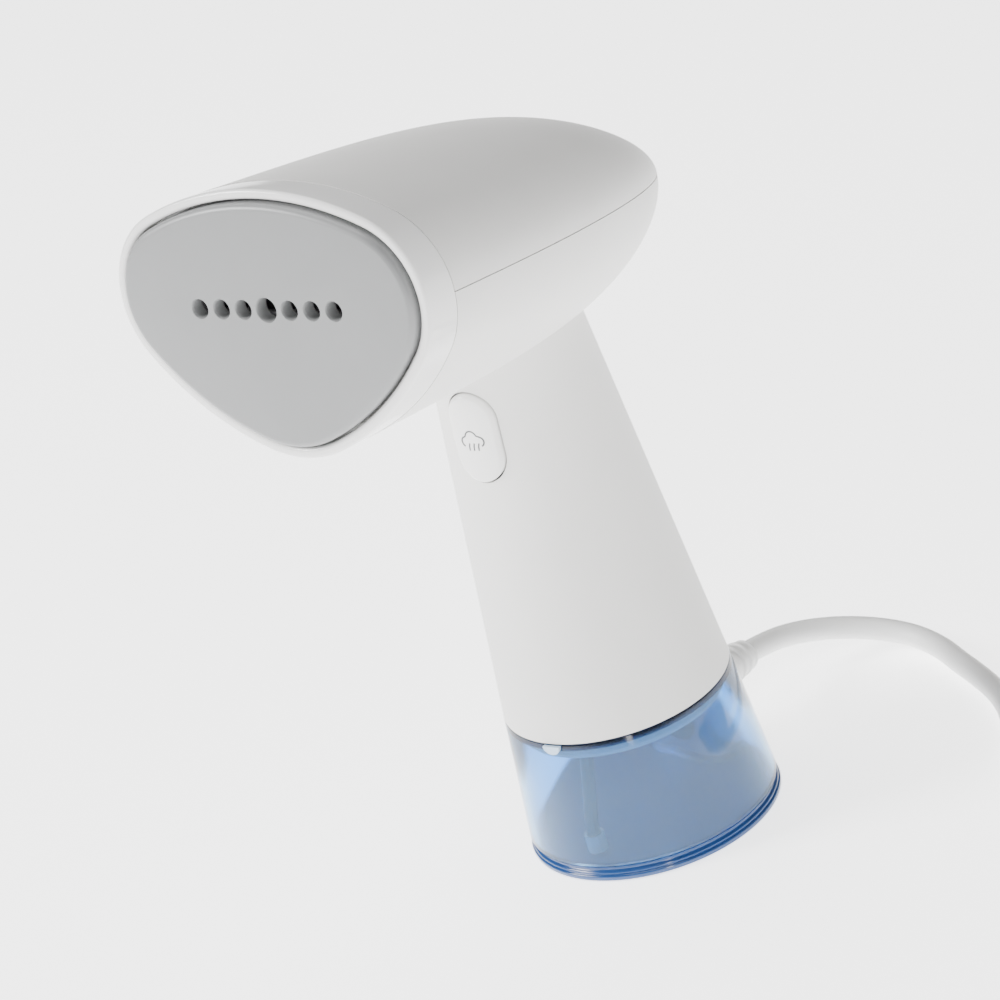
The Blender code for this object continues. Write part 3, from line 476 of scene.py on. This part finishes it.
def carve(target, *cutters, sharp=35):
    """Cuts the cutters out of target for good, and removes them."""
    for cutter in cutters:
        modifier = target.modifiers.new(cutter.name, "BOOLEAN")
        modifier.operation = "DIFFERENCE"
        modifier.object = cutter
    graph = bpy.context.evaluated_depsgraph_get()
    mesh = bpy.data.meshes.new_from_object(target.evaluated_get(graph))
    target.modifiers.clear()
    target.data = mesh
    mesh.shade_smooth()
    mesh.set_sharp_from_angle(angle=math.radians(sharp))
    for cutter in cutters:
        bpy.data.objects.remove(cutter, do_unlink=True)
    return target


def finish_piece(piece, body, slot, *nodes):
    """Rides the piece on its body and hides the CAD nodes it stands for; the slot is not used."""
    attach(piece, body)
    if nodes:
        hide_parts(*nodes)
    return piece


def in_head(bm):
    """Moves a mesh from the head's own frame to the world."""
    bm.transform(Matrix.Translation(HEAD_AT) @ Matrix.Rotation(-HEAD_TILT, 4, "X"))
    return bm


def smooth_path(points, spacing):
    """Points at an even spacing on a Catmull-Rom curve through the route's points."""
    route = [np.array(p, float) for p in points]
    route = [2 * route[0] - route[1], *route, 2 * route[-1] - route[-2]]
    fine = []
    for a, b, c, d in zip(route, route[1:], route[2:], route[3:]):
        for t in np.linspace(0, 1, 12, endpoint=False):
            bend = (2 * a - 5 * b + 4 * c - d) * t**2 + (3 * b - a - 3 * c + d) * t**3
            fine.append(b + 0.5 * ((c - a) * t + bend))
    fine = np.array([*fine, route[-2]])
    run = np.concatenate([[0], np.cumsum(np.linalg.norm(np.diff(fine, axis=0), axis=1))])
    stops = np.linspace(0, run[-1], max(2, round(run[-1] / spacing) + 1))
    return [tuple(float(np.interp(s, run, fine[:, i])) for i in range(3)) for s in stops]


def tube(points, radius, sides=18):
    """A round tube through points, with a section that does not twist."""
    path = [Vector(p) for p in points]
    side = Vector((0, 0, 1)).cross(path[1] - path[0]).normalized()
    rings = []
    for i, point in enumerate(path):
        ahead = (path[min(i + 1, len(path) - 1)] - path[max(i - 1, 0)]).normalized()
        side = (side - ahead * side.dot(ahead)).normalized()
        up = ahead.cross(side)
        turns = [2 * math.pi * k / sides for k in range(sides)]
        rings.append([point + (side * math.cos(a) + up * math.sin(a)) * radius for a in turns])
    return skin(rings)


# ---------------------------------------------------------------- shapes of the object


def taper_r(z):
    """Outer radius of the tank below the seam, and of the handle above it."""
    if z < SEAM_Z:
        return FOOT_R + (SEAM_R - FOOT_R) * z / SEAM_Z
    return SEAM_R + (NECK_R - SEAM_R) * (z - SEAM_Z) / (NECK_Z - SEAM_Z)


def slot_corners(half, floor, fillet, steps=8):
    """The slot's two rounded inner corners as (x, y), from -X to +X."""
    turns = [math.pi / 2 * i / steps for i in range(steps + 1)]
    left = [(-half + fillet * (1 - math.cos(a)), floor + fillet * (1 - math.sin(a))) for a in turns]
    return left + [(-x, y) for x, y in left[::-1]]


def slotted_circle(radius, inset, z):
    """A circle of the given radius with the slot cut into its back, drawn inwards by inset."""
    half = SLOT_HALF_W + inset
    floor = SLOT_Y - inset
    r = radius - inset
    start = math.acos(half / r)
    sweep = math.pi + 2 * start
    arc = [start - sweep * i / ROUND_STEPS for i in range(ROUND_STEPS + 1)]
    points = [(r * math.cos(a), r * math.sin(a), z) for a in arc]
    return points + [(x, y, z) for x, y in slot_corners(half, floor, SLOT_FILLET + inset)]


def arc_points(centre, radius, start, end, steps):
    """Points on an arc from start towards end, leaving out the last."""
    stops = [start + (end - start) * i / steps for i in range(steps)]
    return [(centre[0] + radius * math.cos(a), centre[1] + radius * math.sin(a)) for a in stops]


def plate_outline(offset):
    """The head's outline as (x, v), widened by offset: the half over the brow, and the one under the chin."""
    corner = Vector((CORNER_X, CORNER_V))
    chin = Vector((0, CHIN_V))
    brow_v = CORNER_V - math.sqrt((BROW_R - CORNER_R) ** 2 - CORNER_X**2)
    brow_end = math.atan2(CORNER_V - brow_v, CORNER_X)
    span = chin - corner
    near, far = CHEEK_R - CORNER_R, CHEEK_R - CHIN_R
    along = (near**2 - far**2 + span.length_squared) / (2 * span.length)
    away = math.sqrt(near**2 - along**2)
    ahead = span.normalized()
    cheek = corner + ahead * along + Vector((ahead.y, -ahead.x)) * away
    to_corner = math.atan2(corner.y - cheek.y, corner.x - cheek.x)
    to_chin = math.atan2(chin.y - cheek.y, chin.x - cheek.x)
    right_top = arc_points(corner, CORNER_R + offset, 0, brow_end, ARC_STEPS)
    right_top += arc_points((0, brow_v), BROW_R + offset, brow_end, math.pi / 2, ARC_STEPS)
    right_low = arc_points(corner, CORNER_R + offset, 0, to_corner, ARC_STEPS)
    right_low += arc_points(cheek, CHEEK_R + offset, to_corner, to_chin, ARC_STEPS)
    right_low += arc_points(chin, CHIN_R + offset, to_chin, -math.pi / 2, ARC_STEPS)
    crown = [(0, brow_v + BROW_R + offset)]
    keel = [(0, CHIN_V - CHIN_R - offset)]
    top = right_top + crown + [(-x, v) for x, v in right_top[::-1]]
    low = right_low + keel + [(-x, v) for x, v in right_low[::-1]]
    return top, low


def head_loop(offset, s):
    """The whole outline, offset outwards, at the distance s behind the face of the steam plate."""
    top, low = plate_outline(offset)
    return [(x, s, v) for x, v in top + low[-2:0:-1]]


def head_half(s, inset, upper):
    """One half of the head's section at s: the plate's outline, rounding off towards the tail."""
    top, low = plate_outline(LIP)
    points = top if upper else low
    width = CORNER_X + CORNER_R + LIP
    tall = max(v for _, v in top) - CORNER_V
    deep = CORNER_V - min(v for _, v in low)
    u = min(s / (HEAD_LENGTH - inset), 1.0)
    round_off = 1 - (1 - u) ** 1.56
    half_width = (width - inset) * (1 - u**2.75) ** 0.26
    if upper:
        height = (tall - inset - TOP_SAG * u * (1 - u)) * (1 - u**3) ** 0.48
    else:
        height = (deep - inset - KEEL_SAG * u * (1 - u)) * (1 - u**3.7) ** 0.52
    middle = CORNER_V + PARTING_SLOPE * s
    made = []
    for x, v in points:
        gx = x / width
        gv = (v - CORNER_V) / (tall if upper else deep)
        angle = math.atan2(gv, gx)
        gx += (math.cos(angle) - gx) * round_off
        gv += (math.sin(angle) - gv) * round_off
        made.append((half_width * gx, s, middle + height * gv))
    return made


def head_whole(s, inset):
    return head_half(s, inset, True) + head_half(s, inset, False)[-2:0:-1]


def stadium(offset, steps=20):
    """The trigger's outline as (x, z about its middle): straight sides and round ends."""
    r = TRIGGER_HALF_W + offset
    rise = TRIGGER_HALF_H - TRIGGER_HALF_W
    ends = [math.pi * i / steps for i in range(steps + 1)]
    top = [(r * math.cos(a), rise + r * math.sin(a)) for a in ends]
    return top + [(-x, -z) for x, z in top]


# ---------------------------------------------------------------- cord


def eased(angle, start, end):
    """From 0 at the angle start to 1 at the angle end, in degrees, with a gentle beginning and end."""
    t = min(max((angle - start) / (end - start), 0.0), 1.0)
    return t * t * (3 - 2 * t)


def coil_point(angle, radius, z):
    """A point of the coil, at an angle in degrees after its start."""
    a = COIL_START + math.radians(angle)
    return (COIL_CENTRE[0] + radius * math.cos(a), COIL_CENTRE[1] + radius * math.sin(a), z)


def coil_entry():
    """From the coil's side on to its outer track."""
    before = math.degrees(COIL_MEETS - COIL_START)
    drop = COIL_REST_R - COIL_TRACKS[0]
    angles = np.arange(before, -3, 6)
    return [coil_point(a, COIL_REST_R - drop * eased(a, before, 0), COIL_LOW_Z) for a in angles]


def coil_turns():
    """Three turns inwards on the surface, the last of which climbs, then three outwards on top of them."""
    outer, middle, inner = COIL_TRACKS
    radii = [outer, middle, inner, inner, middle, outer, COIL_REST_R]
    climb = COIL_HIGH_Z - COIL_LOW_Z
    points = []
    for k, (start_r, end_r) in enumerate(zip(radii, radii[1:])):
        for angle in range(0, 360, 4):
            r = start_r + (end_r - start_r) * eased(angle, *COIL_SHIFT)
            rise = eased(angle + 360 * (k - 2), *COIL_CLIMB)
            points.append(coil_point(angle, r, COIL_LOW_Z + climb * rise))
    return points


def coil_exit():
    """Down at the coil's side, from the top of its outer turn."""
    drop = COIL_HIGH_Z - COIL_LOW_Z
    return [coil_point(a, COIL_REST_R, COIL_HIGH_Z - drop * eased(a, 10, 132)) for a in range(0, 133, 4)]


def make_plug():
    """A two-blade plug: a gripped body that swells from the cord, with a ribbed neck."""
    stations = [
        (0.0, 0.0042, 0.0042), (-0.0015, 0.0047, 0.0047), (-0.003, 0.0043, 0.0043), (-0.0045, 0.0049, 0.0049),
        (-0.006, 0.0045, 0.0045), (-0.0075, 0.0052, 0.0051), (-0.009, 0.0048, 0.0048),
        (-0.0115, 0.0056, 0.0053), (-0.0145, 0.0072, 0.0062), (-0.0175, 0.0096, 0.0072),
        (-0.021, 0.0109, 0.0077), (-0.026, 0.0107, 0.0074), (-0.032, 0.0106, 0.0074),
        (-0.038, 0.0111, 0.0078), (-0.0415, 0.0110, 0.0077), (-0.0433, 0.0105, 0.0073),
        (-0.0439, 0.0098, 0.0067),
    ]
    rings = []
    for x, half_w, half_h in stations:
        corner = 0.55 * min(half_w, half_h)
        ring = []
        for k, (sy, sz) in enumerate([(1, 1), (-1, 1), (-1, -1), (1, -1)]):
            for i in range(9):
                a = math.pi / 2 * (k + i / 8)
                y = sy * (half_w - corner) + corner * math.cos(a)
                z = sz * (half_h - corner) + corner * math.sin(a)
                ring.append((x, y, z))
        rings.append(ring)
    bm = skin(rings)
    bm.transform(Matrix.Rotation(PLUG_TURN, 4, "Z"))
    body = add("plug_shell", bm, "cord_white", PLUG_AT)
    return finish_piece(body, "tank", "cord_white", "plug_body")


def make_cord():
    route = CORD_ROUTE + coil_entry() + coil_turns() + coil_exit() + TAIL_ROUTE
    path = smooth_path(route, 0.003)
    length = sum((Vector(b) - Vector(a)).length for a, b in zip(path, path[1:]))
    cord = add("mains_cord", tube(path, CORD_R), "cord_white", sharp=60)
    return cord, path, length


def declare_cord():
    cord, path, length = make_cord()
    plug = make_plug()
    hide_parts("power_cord_run", "power_cord_coil", "power_cord_tail")
    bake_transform(cord)


# ---------------------------------------------------------------- tank


def make_tank():
    rim = 0.0004
    top = SEAM_Z
    low = TANK_FLOOR_Z + GAP
    outer_r, foot_r = taper_r(SEAM_Z - rim), taper_r(TANK_FLOOR_Z)
    wall = [
        slotted_circle(foot_r, 0, low), slotted_circle(taper_r(0.024), 0, 0.024),
        slotted_circle(outer_r, 0, top - rim), slotted_circle(outer_r, 0.3 * rim, top - 0.3 * rim),
        slotted_circle(outer_r, rim, top), slotted_circle(outer_r, TANK_WALL - rim, top),
        slotted_circle(outer_r, TANK_WALL, top - rim), slotted_circle(foot_r, TANK_WALL, low),
    ]
    tank = add("tank_shell", skin(wall, closed=True), "tank_blue")
    finish_piece(tank, "tank", "tank_blue", "tank_body")
    nub = [math.pi * i / 16 for i in range(17)]
    faces = [
        [(0.0029 * math.cos(a), y, top - 0.0002 - 0.0026 * math.sin(a)) for a in nub]
        for y in (-SEAM_R - 0.0010, -SEAM_R + 0.0008)
    ]
    finish_piece(add("tank_nub", skin(faces), "nub_blue"), "tank", "tank_blue")


def make_base():
    profile = [
        (0, 0), (0.012, 0), (0.0128, 0.0026), (0.0305, 0.0026), (0.0315, 0), (0.0371, 0),
        (0.03785, 0.0005), (0.0379, 0.0012), (0.0378, 0.0018), (0.0371, 0.0022), (0.0375, 0.0026),
        (0.0373, 0.0030), (0.0366, 0.0034), (0.0366, 0.0041), (0.0372, 0.0044), (0.03745, TANK_FLOOR_Z),
        (0.0340, TANK_FLOOR_Z), (0, TANK_FLOOR_Z),
    ]
    base = add("tank_foot", turned(rounded(profile, 0.0004, 4), ROUND_STEPS), "base_blue")
    finish_piece(base, "tank", "base_blue", "tank_base")


def make_tongue_dark_disc():
    """A black disc on the face of the handle's tongue, which makes a dark spot seen through the tank."""
    pad = [(0, 0), (0.0078, 0), (0.0082, 0.00008), (0.0078, 0.00016), (0, 0.00016)]
    made = add("tongue_dark_disc", turned(pad, 48), "black_plastic", (0, SLOT_Y + 0.0001, 0.0175), (0, 1, 0))
    finish_piece(made, "housing", "black_plastic")


# ---------------------------------------------------------------- handle


def make_sleeve():
    levels = 24
    outer = [(0, TONGUE_FOOT_Z), (taper_r(TONGUE_FOOT_Z), TONGUE_FOOT_Z), (SEAM_R, SEAM_Z)]
    rise = SLEEVE_TOP_Z - SEAM_Z
    heights = [SEAM_Z + rise * (i + 1) / levels for i in range(levels)]
    outer += [(taper_r(z), z) for z in heights]
    outer += [(0, SLEEVE_TOP_Z)]
    sleeve = add("handle_shell", turned(outer, ROUND_STEPS), "shell_white")
    half = SLOT_HALF_W - TONGUE_PLAY
    front = SLOT_Y + TONGUE_PLAY
    far = 2 * FOOT_R
    corners = slot_corners(half, front, SLOT_FILLET)
    outline = [(-far, -far), (far, -far), (far, far), (half, far), *corners[::-1], (-half, far), (-far, far)]
    below = add("below", skin([[(x, y, z) for x, y in outline] for z in (-0.01, SEAM_Z + GAP)]))
    low = SEAM_Z - 0.001
    inner = [
        (0, low), (taper_r(low) - SLEEVE_WALL, low),
        (taper_r(SLEEVE_TOP_Z) - SLEEVE_WALL, SLEEVE_TOP_Z + 0.002), (0, SLEEVE_TOP_Z + 0.002),
    ]
    cavity = add("cavity", turned(inner, ROUND_STEPS))
    opening = [[(x, y, TRIGGER_Z + z) for x, z in stadium(TRIGGER_GAP)] for y in (-0.04, -0.012)]
    opening = add("opening", skin(opening))
    hole = turned([(0, -0.008), (GUARD_HOLE_R, -0.008), (GUARD_HOLE_R, 0.01), (0, 0.01)], 64)
    hole = add("hole", hole, None, GUARD_AT, guard_axis())
    carve(sleeve, below, cavity, opening, hole)
    finish_piece(sleeve, "housing", "shell_white", "handle_sleeve")


def guard_axis():
    return (0, math.cos(GUARD_DROP), -math.sin(GUARD_DROP))


def make_guard():
    """The round boss that carries the cord out, tapering to a short ribbed sleeve."""
    profile = [
        (0, -0.0092), (0.0092, -0.0092), (0.0092, -0.0076), (0.0080, -0.0076), (0.0080, 0.0030),
        (0.0078, 0.0075), (0.0070, 0.0105), (0.0057, 0.0122), (0.0054, 0.0140), (0.0059, 0.0146),
        (0.0057, 0.0160), (0.0051, 0.0164), (0.0050, 0.0178), (0.0055, 0.0184), (0.0052, 0.0198),
        (0.0047, 0.0202), (0.0046, 0.0216), (0.0049, 0.0222), (0.0043, GUARD_LENGTH - 0.0001),
        (0, GUARD_LENGTH - 0.0001),
    ]
    guard = add("cord_boss", turned(rounded(profile, 0.0007, 5), 64), "cord_white", GUARD_AT, guard_axis())
    finish_piece(guard, "housing", "cord_white", "cord_guard")


def on_trigger(x, z, proud):
    """A point above the handle's taper, for the trigger's face."""
    r = taper_r(TRIGGER_Z + z) + proud
    return (x, -math.sqrt(r * r - x * x), TRIGGER_Z + z)


def make_trigger():
    flat = [
        (-0.0018, TRIGGER_BACK_Y), (0.0015, TRIGGER_BACK_Y),
        (0.0015, TRIGGER_FLANGE_Y), (0, TRIGGER_FLANGE_Y),
    ]
    rings = [[(x, y, TRIGGER_Z + z) for x, z in stadium(offset)] for offset, y in flat]
    rings.append([on_trigger(x, z, -0.0004) for x, z in stadium(0)])
    edge = 0.0013
    for i in range(9):
        a = math.pi / 2 * i / 8
        inset = edge * (1 - math.cos(a))
        proud = TRIGGER_PROUD - edge + edge * math.sin(a)
        rings.append([on_trigger(x, z, proud) for x, z in stadium(-inset)])
    for inset, proud in ((0.0030, 0.00145), (0.0050, 0.00150), (0.0070, 0.00152)):
        rings.append([on_trigger(x, z, proud) for x, z in stadium(-inset)])
    trigger = add("trigger_cap", skin(rings), "bezel_white", sharp=50)
    finish_piece(trigger, "trigger", "bezel_white", "trigger")


def ribbon(name, points, width, closed=False):
    """A thin raised line on the trigger's face through (x, z) points."""
    line = [Vector(p) for p in points]
    rings = []
    for i, point in enumerate(line):
        before = line[i - 1] if closed or i else point
        after = line[(i + 1) % len(line)] if closed or i + 1 < len(line) else point
        across = (after - before).normalized().orthogonal() * width / 2
        left, right = point + across, point - across
        rings.append([
            on_trigger(left.x, left.y, 0.00135), on_trigger(left.x, left.y, 0.00158),
            on_trigger(right.x, right.y, 0.00158), on_trigger(right.x, right.y, 0.00135),
        ])
    made = add(name, skin(rings, closed=closed), "icon_grey")
    finish_piece(made, "trigger", "bezel_white")


def make_icon():
    """A plain cloud, open below, over three slanted strokes of steam."""
    middle = ICON_Z - TRIGGER_Z
    lobes = [
        ((-0.0024, 0.0002), 0.0014, 250, 100), ((-0.0002, 0.0014), 0.0020, 165, 20),
        ((0.0025, 0.0003), 0.0014, 80, -70),
    ]
    cloud = []
    for (x, z), r, start, end in lobes:
        for i in range(13):
            a = math.radians(start + (end - start) * i / 12)
            cloud.append((x + r * math.cos(a), middle + z + r * math.sin(a)))
    ribbon("icon_cloud", cloud, 0.00042)
    for k, x in enumerate((-0.0014, 0.0002, 0.0018)):
        stroke = [(x + 0.00035, middle - 0.0002), (x, middle - 0.0012), (x - 0.0001, middle - 0.0024)]
        ribbon(f"icon_stroke_{k + 1}", stroke, 0.00042)


# ---------------------------------------------------------------- head


def make_shell(name, upper):
    """One half shell of the head, between an outer and an inner skin that both close at the tail."""
    shift = GAP / 2 if upper else -GAP / 2
    rings = []
    count = 56
    for i in range(count + 1):
        t = 1 - (1 - i / count) ** 1.9
        ring = []
        for inset in (0.0, HEAD_WALL):
            s = SHELL_FRONT + (HEAD_LENGTH - inset - SHELL_FRONT) * t
            half = [(x, y, v + shift) for x, y, v in head_half(s, inset, upper)]
            ring += half[::-1] if inset else half
        rings.append(ring)
    return add(name, in_head(skin(rings)), "shell_white", sharp=40)


def make_head_shells():
    top = make_shell("head_cover_top", True)
    finish_piece(top, "housing", "shell_white", "head_top_shell")
    lower = make_shell("head_cover_lower", False)
    play = 0.00035
    neck = [(0, 0.13), (taper_r(0.13) + play, 0.13), (taper_r(0.19) + play, 0.19), (0, 0.19)]
    carve(lower, add("neck", turned(neck, ROUND_STEPS)), sharp=40)
    finish_piece(lower, "housing", "shell_white", "head_lower_shell")


def make_bezel():
    steps = 8
    rings = [head_whole(BEZEL_BACK, 0), head_whole(0.0085, 0), head_whole(BEZEL_FRONT + LIP_ROUND, 0)]
    for i in range(1, steps + 1):
        a = math.pi / 2 * i / steps
        s = BEZEL_FRONT + LIP_ROUND * (1 - math.sin(a))
        rings.append(head_whole(s, LIP_ROUND * (1 - math.cos(a))))
    inner = [(0.0013, BEZEL_FRONT), (0.0007, 0.0023), (0.0003, 0.0027), (0.0002, 0.0035), (0, 0.0079),
             (-0.0045, 0.0079), (-0.0045, 0.0096), (0.0010, 0.0096), (0.0010, BEZEL_BACK)]
    rings += [head_loop(offset, s) for offset, s in inner]
    bezel = add("front_band", in_head(skin(rings, closed=True)), "bezel_white", sharp=50)
    finish_piece(bezel, "housing", "bezel_white", "front_bezel")


def make_plate():
    steps = 7
    rings = []
    for i in range(steps + 1):
        a = math.pi / 2 * i / steps
        offset = -PLATE_GAP - PLATE_ROUND * (1 - math.sin(a))
        rings.append(head_loop(offset, PLATE_ROUND * (1 - math.cos(a))))
    rings.append(head_loop(-PLATE_GAP, PLATE_T))
    plate = add("steam_face", in_head(skin(rings)), "plate_grey", sharp=40)
    places = [0.0] + [side * (HOLE_FIRST + HOLE_PITCH * i) for side in (-1, 1) for i in range(3)]
    cutters = []
    for k, x in enumerate(places):
        r = HOLE_R if x else MIDDLE_HOLE_R
        profile = [
            (0, -0.001), (r + 0.0011, -0.001), (r + 0.00012, 0.0003),
            (r, 0.0007), (r, 0.006), (0, 0.006),
        ]
        bm = turned(profile, 48)
        bm.transform(Vector((0, 1, 0)).to_track_quat("Z", "Y").to_matrix().to_4x4())
        bm.transform(Matrix.Translation((x, 0, 0)))
        cutters.append(add(f"outlet_{k}", in_head(bm)))
    carve(plate, *cutters, sharp=40)
    finish_piece(plate, "housing", "plate_grey", "steam_plate")


# ---------------------------------------------------------------- springs


def make_spring(name, node, joint, along, wire, turns):
    """A fine wound wire in the room of the CAD spring."""
    low, high = (Vector(corner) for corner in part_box(node))
    middle = (low + high) / 2
    start = Vector(middle)
    start[along] = low[along]
    across = 0 if along else 1
    radius = (high[across] - low[across]) / 2 - wire
    length = high[along] - low[along]
    path = []
    for i in range(SPRING_STEPS * turns + 1):
        t = i / (SPRING_STEPS * turns)
        a = 2 * math.pi * turns * t
        point = Vector(start)
        point[along] += wire + (length - 2 * wire) * t
        point[across] += radius * math.cos(a)
        point[3 - along - across] += radius * math.sin(a)
        path.append(tuple(point))
    made = add(name, tube(path, wire, 8), "steel", sharp=60)
    finish_piece(made, "housing", "steel", node)
    axis = Vector((0, 0, 0))
    axis[along] = 1
    anchor = Vector(start)
    if joint == "trigger_press":
        anchor[along] = high[along]
    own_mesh(made)


def make_springs():
    make_spring("pump_return", "pump_spring", "pump_stroke", 2, 0.0003, 5)
    make_spring("trigger_return", "trigger_spring", "trigger_press", 1, 0.00025, 6)


# ---------------------------------------------------------------- studio


def add_light(name, size, energy, place, target=(0, 0, 0.1)):
    light = bpy.data.objects.new(name, bpy.data.lights.new(name, "AREA"))
    light.data.shape = "RECTANGLE"
    light.data.size, light.data.size_y = size
    light.data.energy = energy
    light.location = place
    light.rotation_euler = (Vector(place) - Vector(target)).to_track_quat("Z", "Y").to_euler()
    bpy.context.scene.collection.objects.link(light)


def make_studio():
    bm = bmesh.new()
    bmesh.ops.create_grid(bm, x_segments=8, y_segments=8, size=4.0)
    floor = add("floor", bm, "floor_pale", (0, 0, -0.0002))
    world = bpy.data.worlds.new("studio")
    world.use_nodes = True
    world.node_tree.nodes["Background"].inputs["Color"].default_value = (1.0, 1.0, 1.0, 1.0)
    world.node_tree.nodes["Background"].inputs["Strength"].default_value = 0.25
    bpy.context.scene.world = world
    add_light("key", (0.6, 0.6), 48, (-1.25, -0.95, 1.15))
    add_light("top", (0.9, 0.9), 12, (-0.3, 0.1, 1.5))
    add_light("strip", (0.12, 1.0), 5, (0.75, -0.95, 0.5))


make_camera()
dress_frame()
declare_cord()
make_tank()
make_base()
make_tongue_dark_disc()
make_sleeve()
make_guard()
make_trigger()
make_icon()
make_head_shells()
make_bezel()
make_plate()
make_springs()
make_studio()
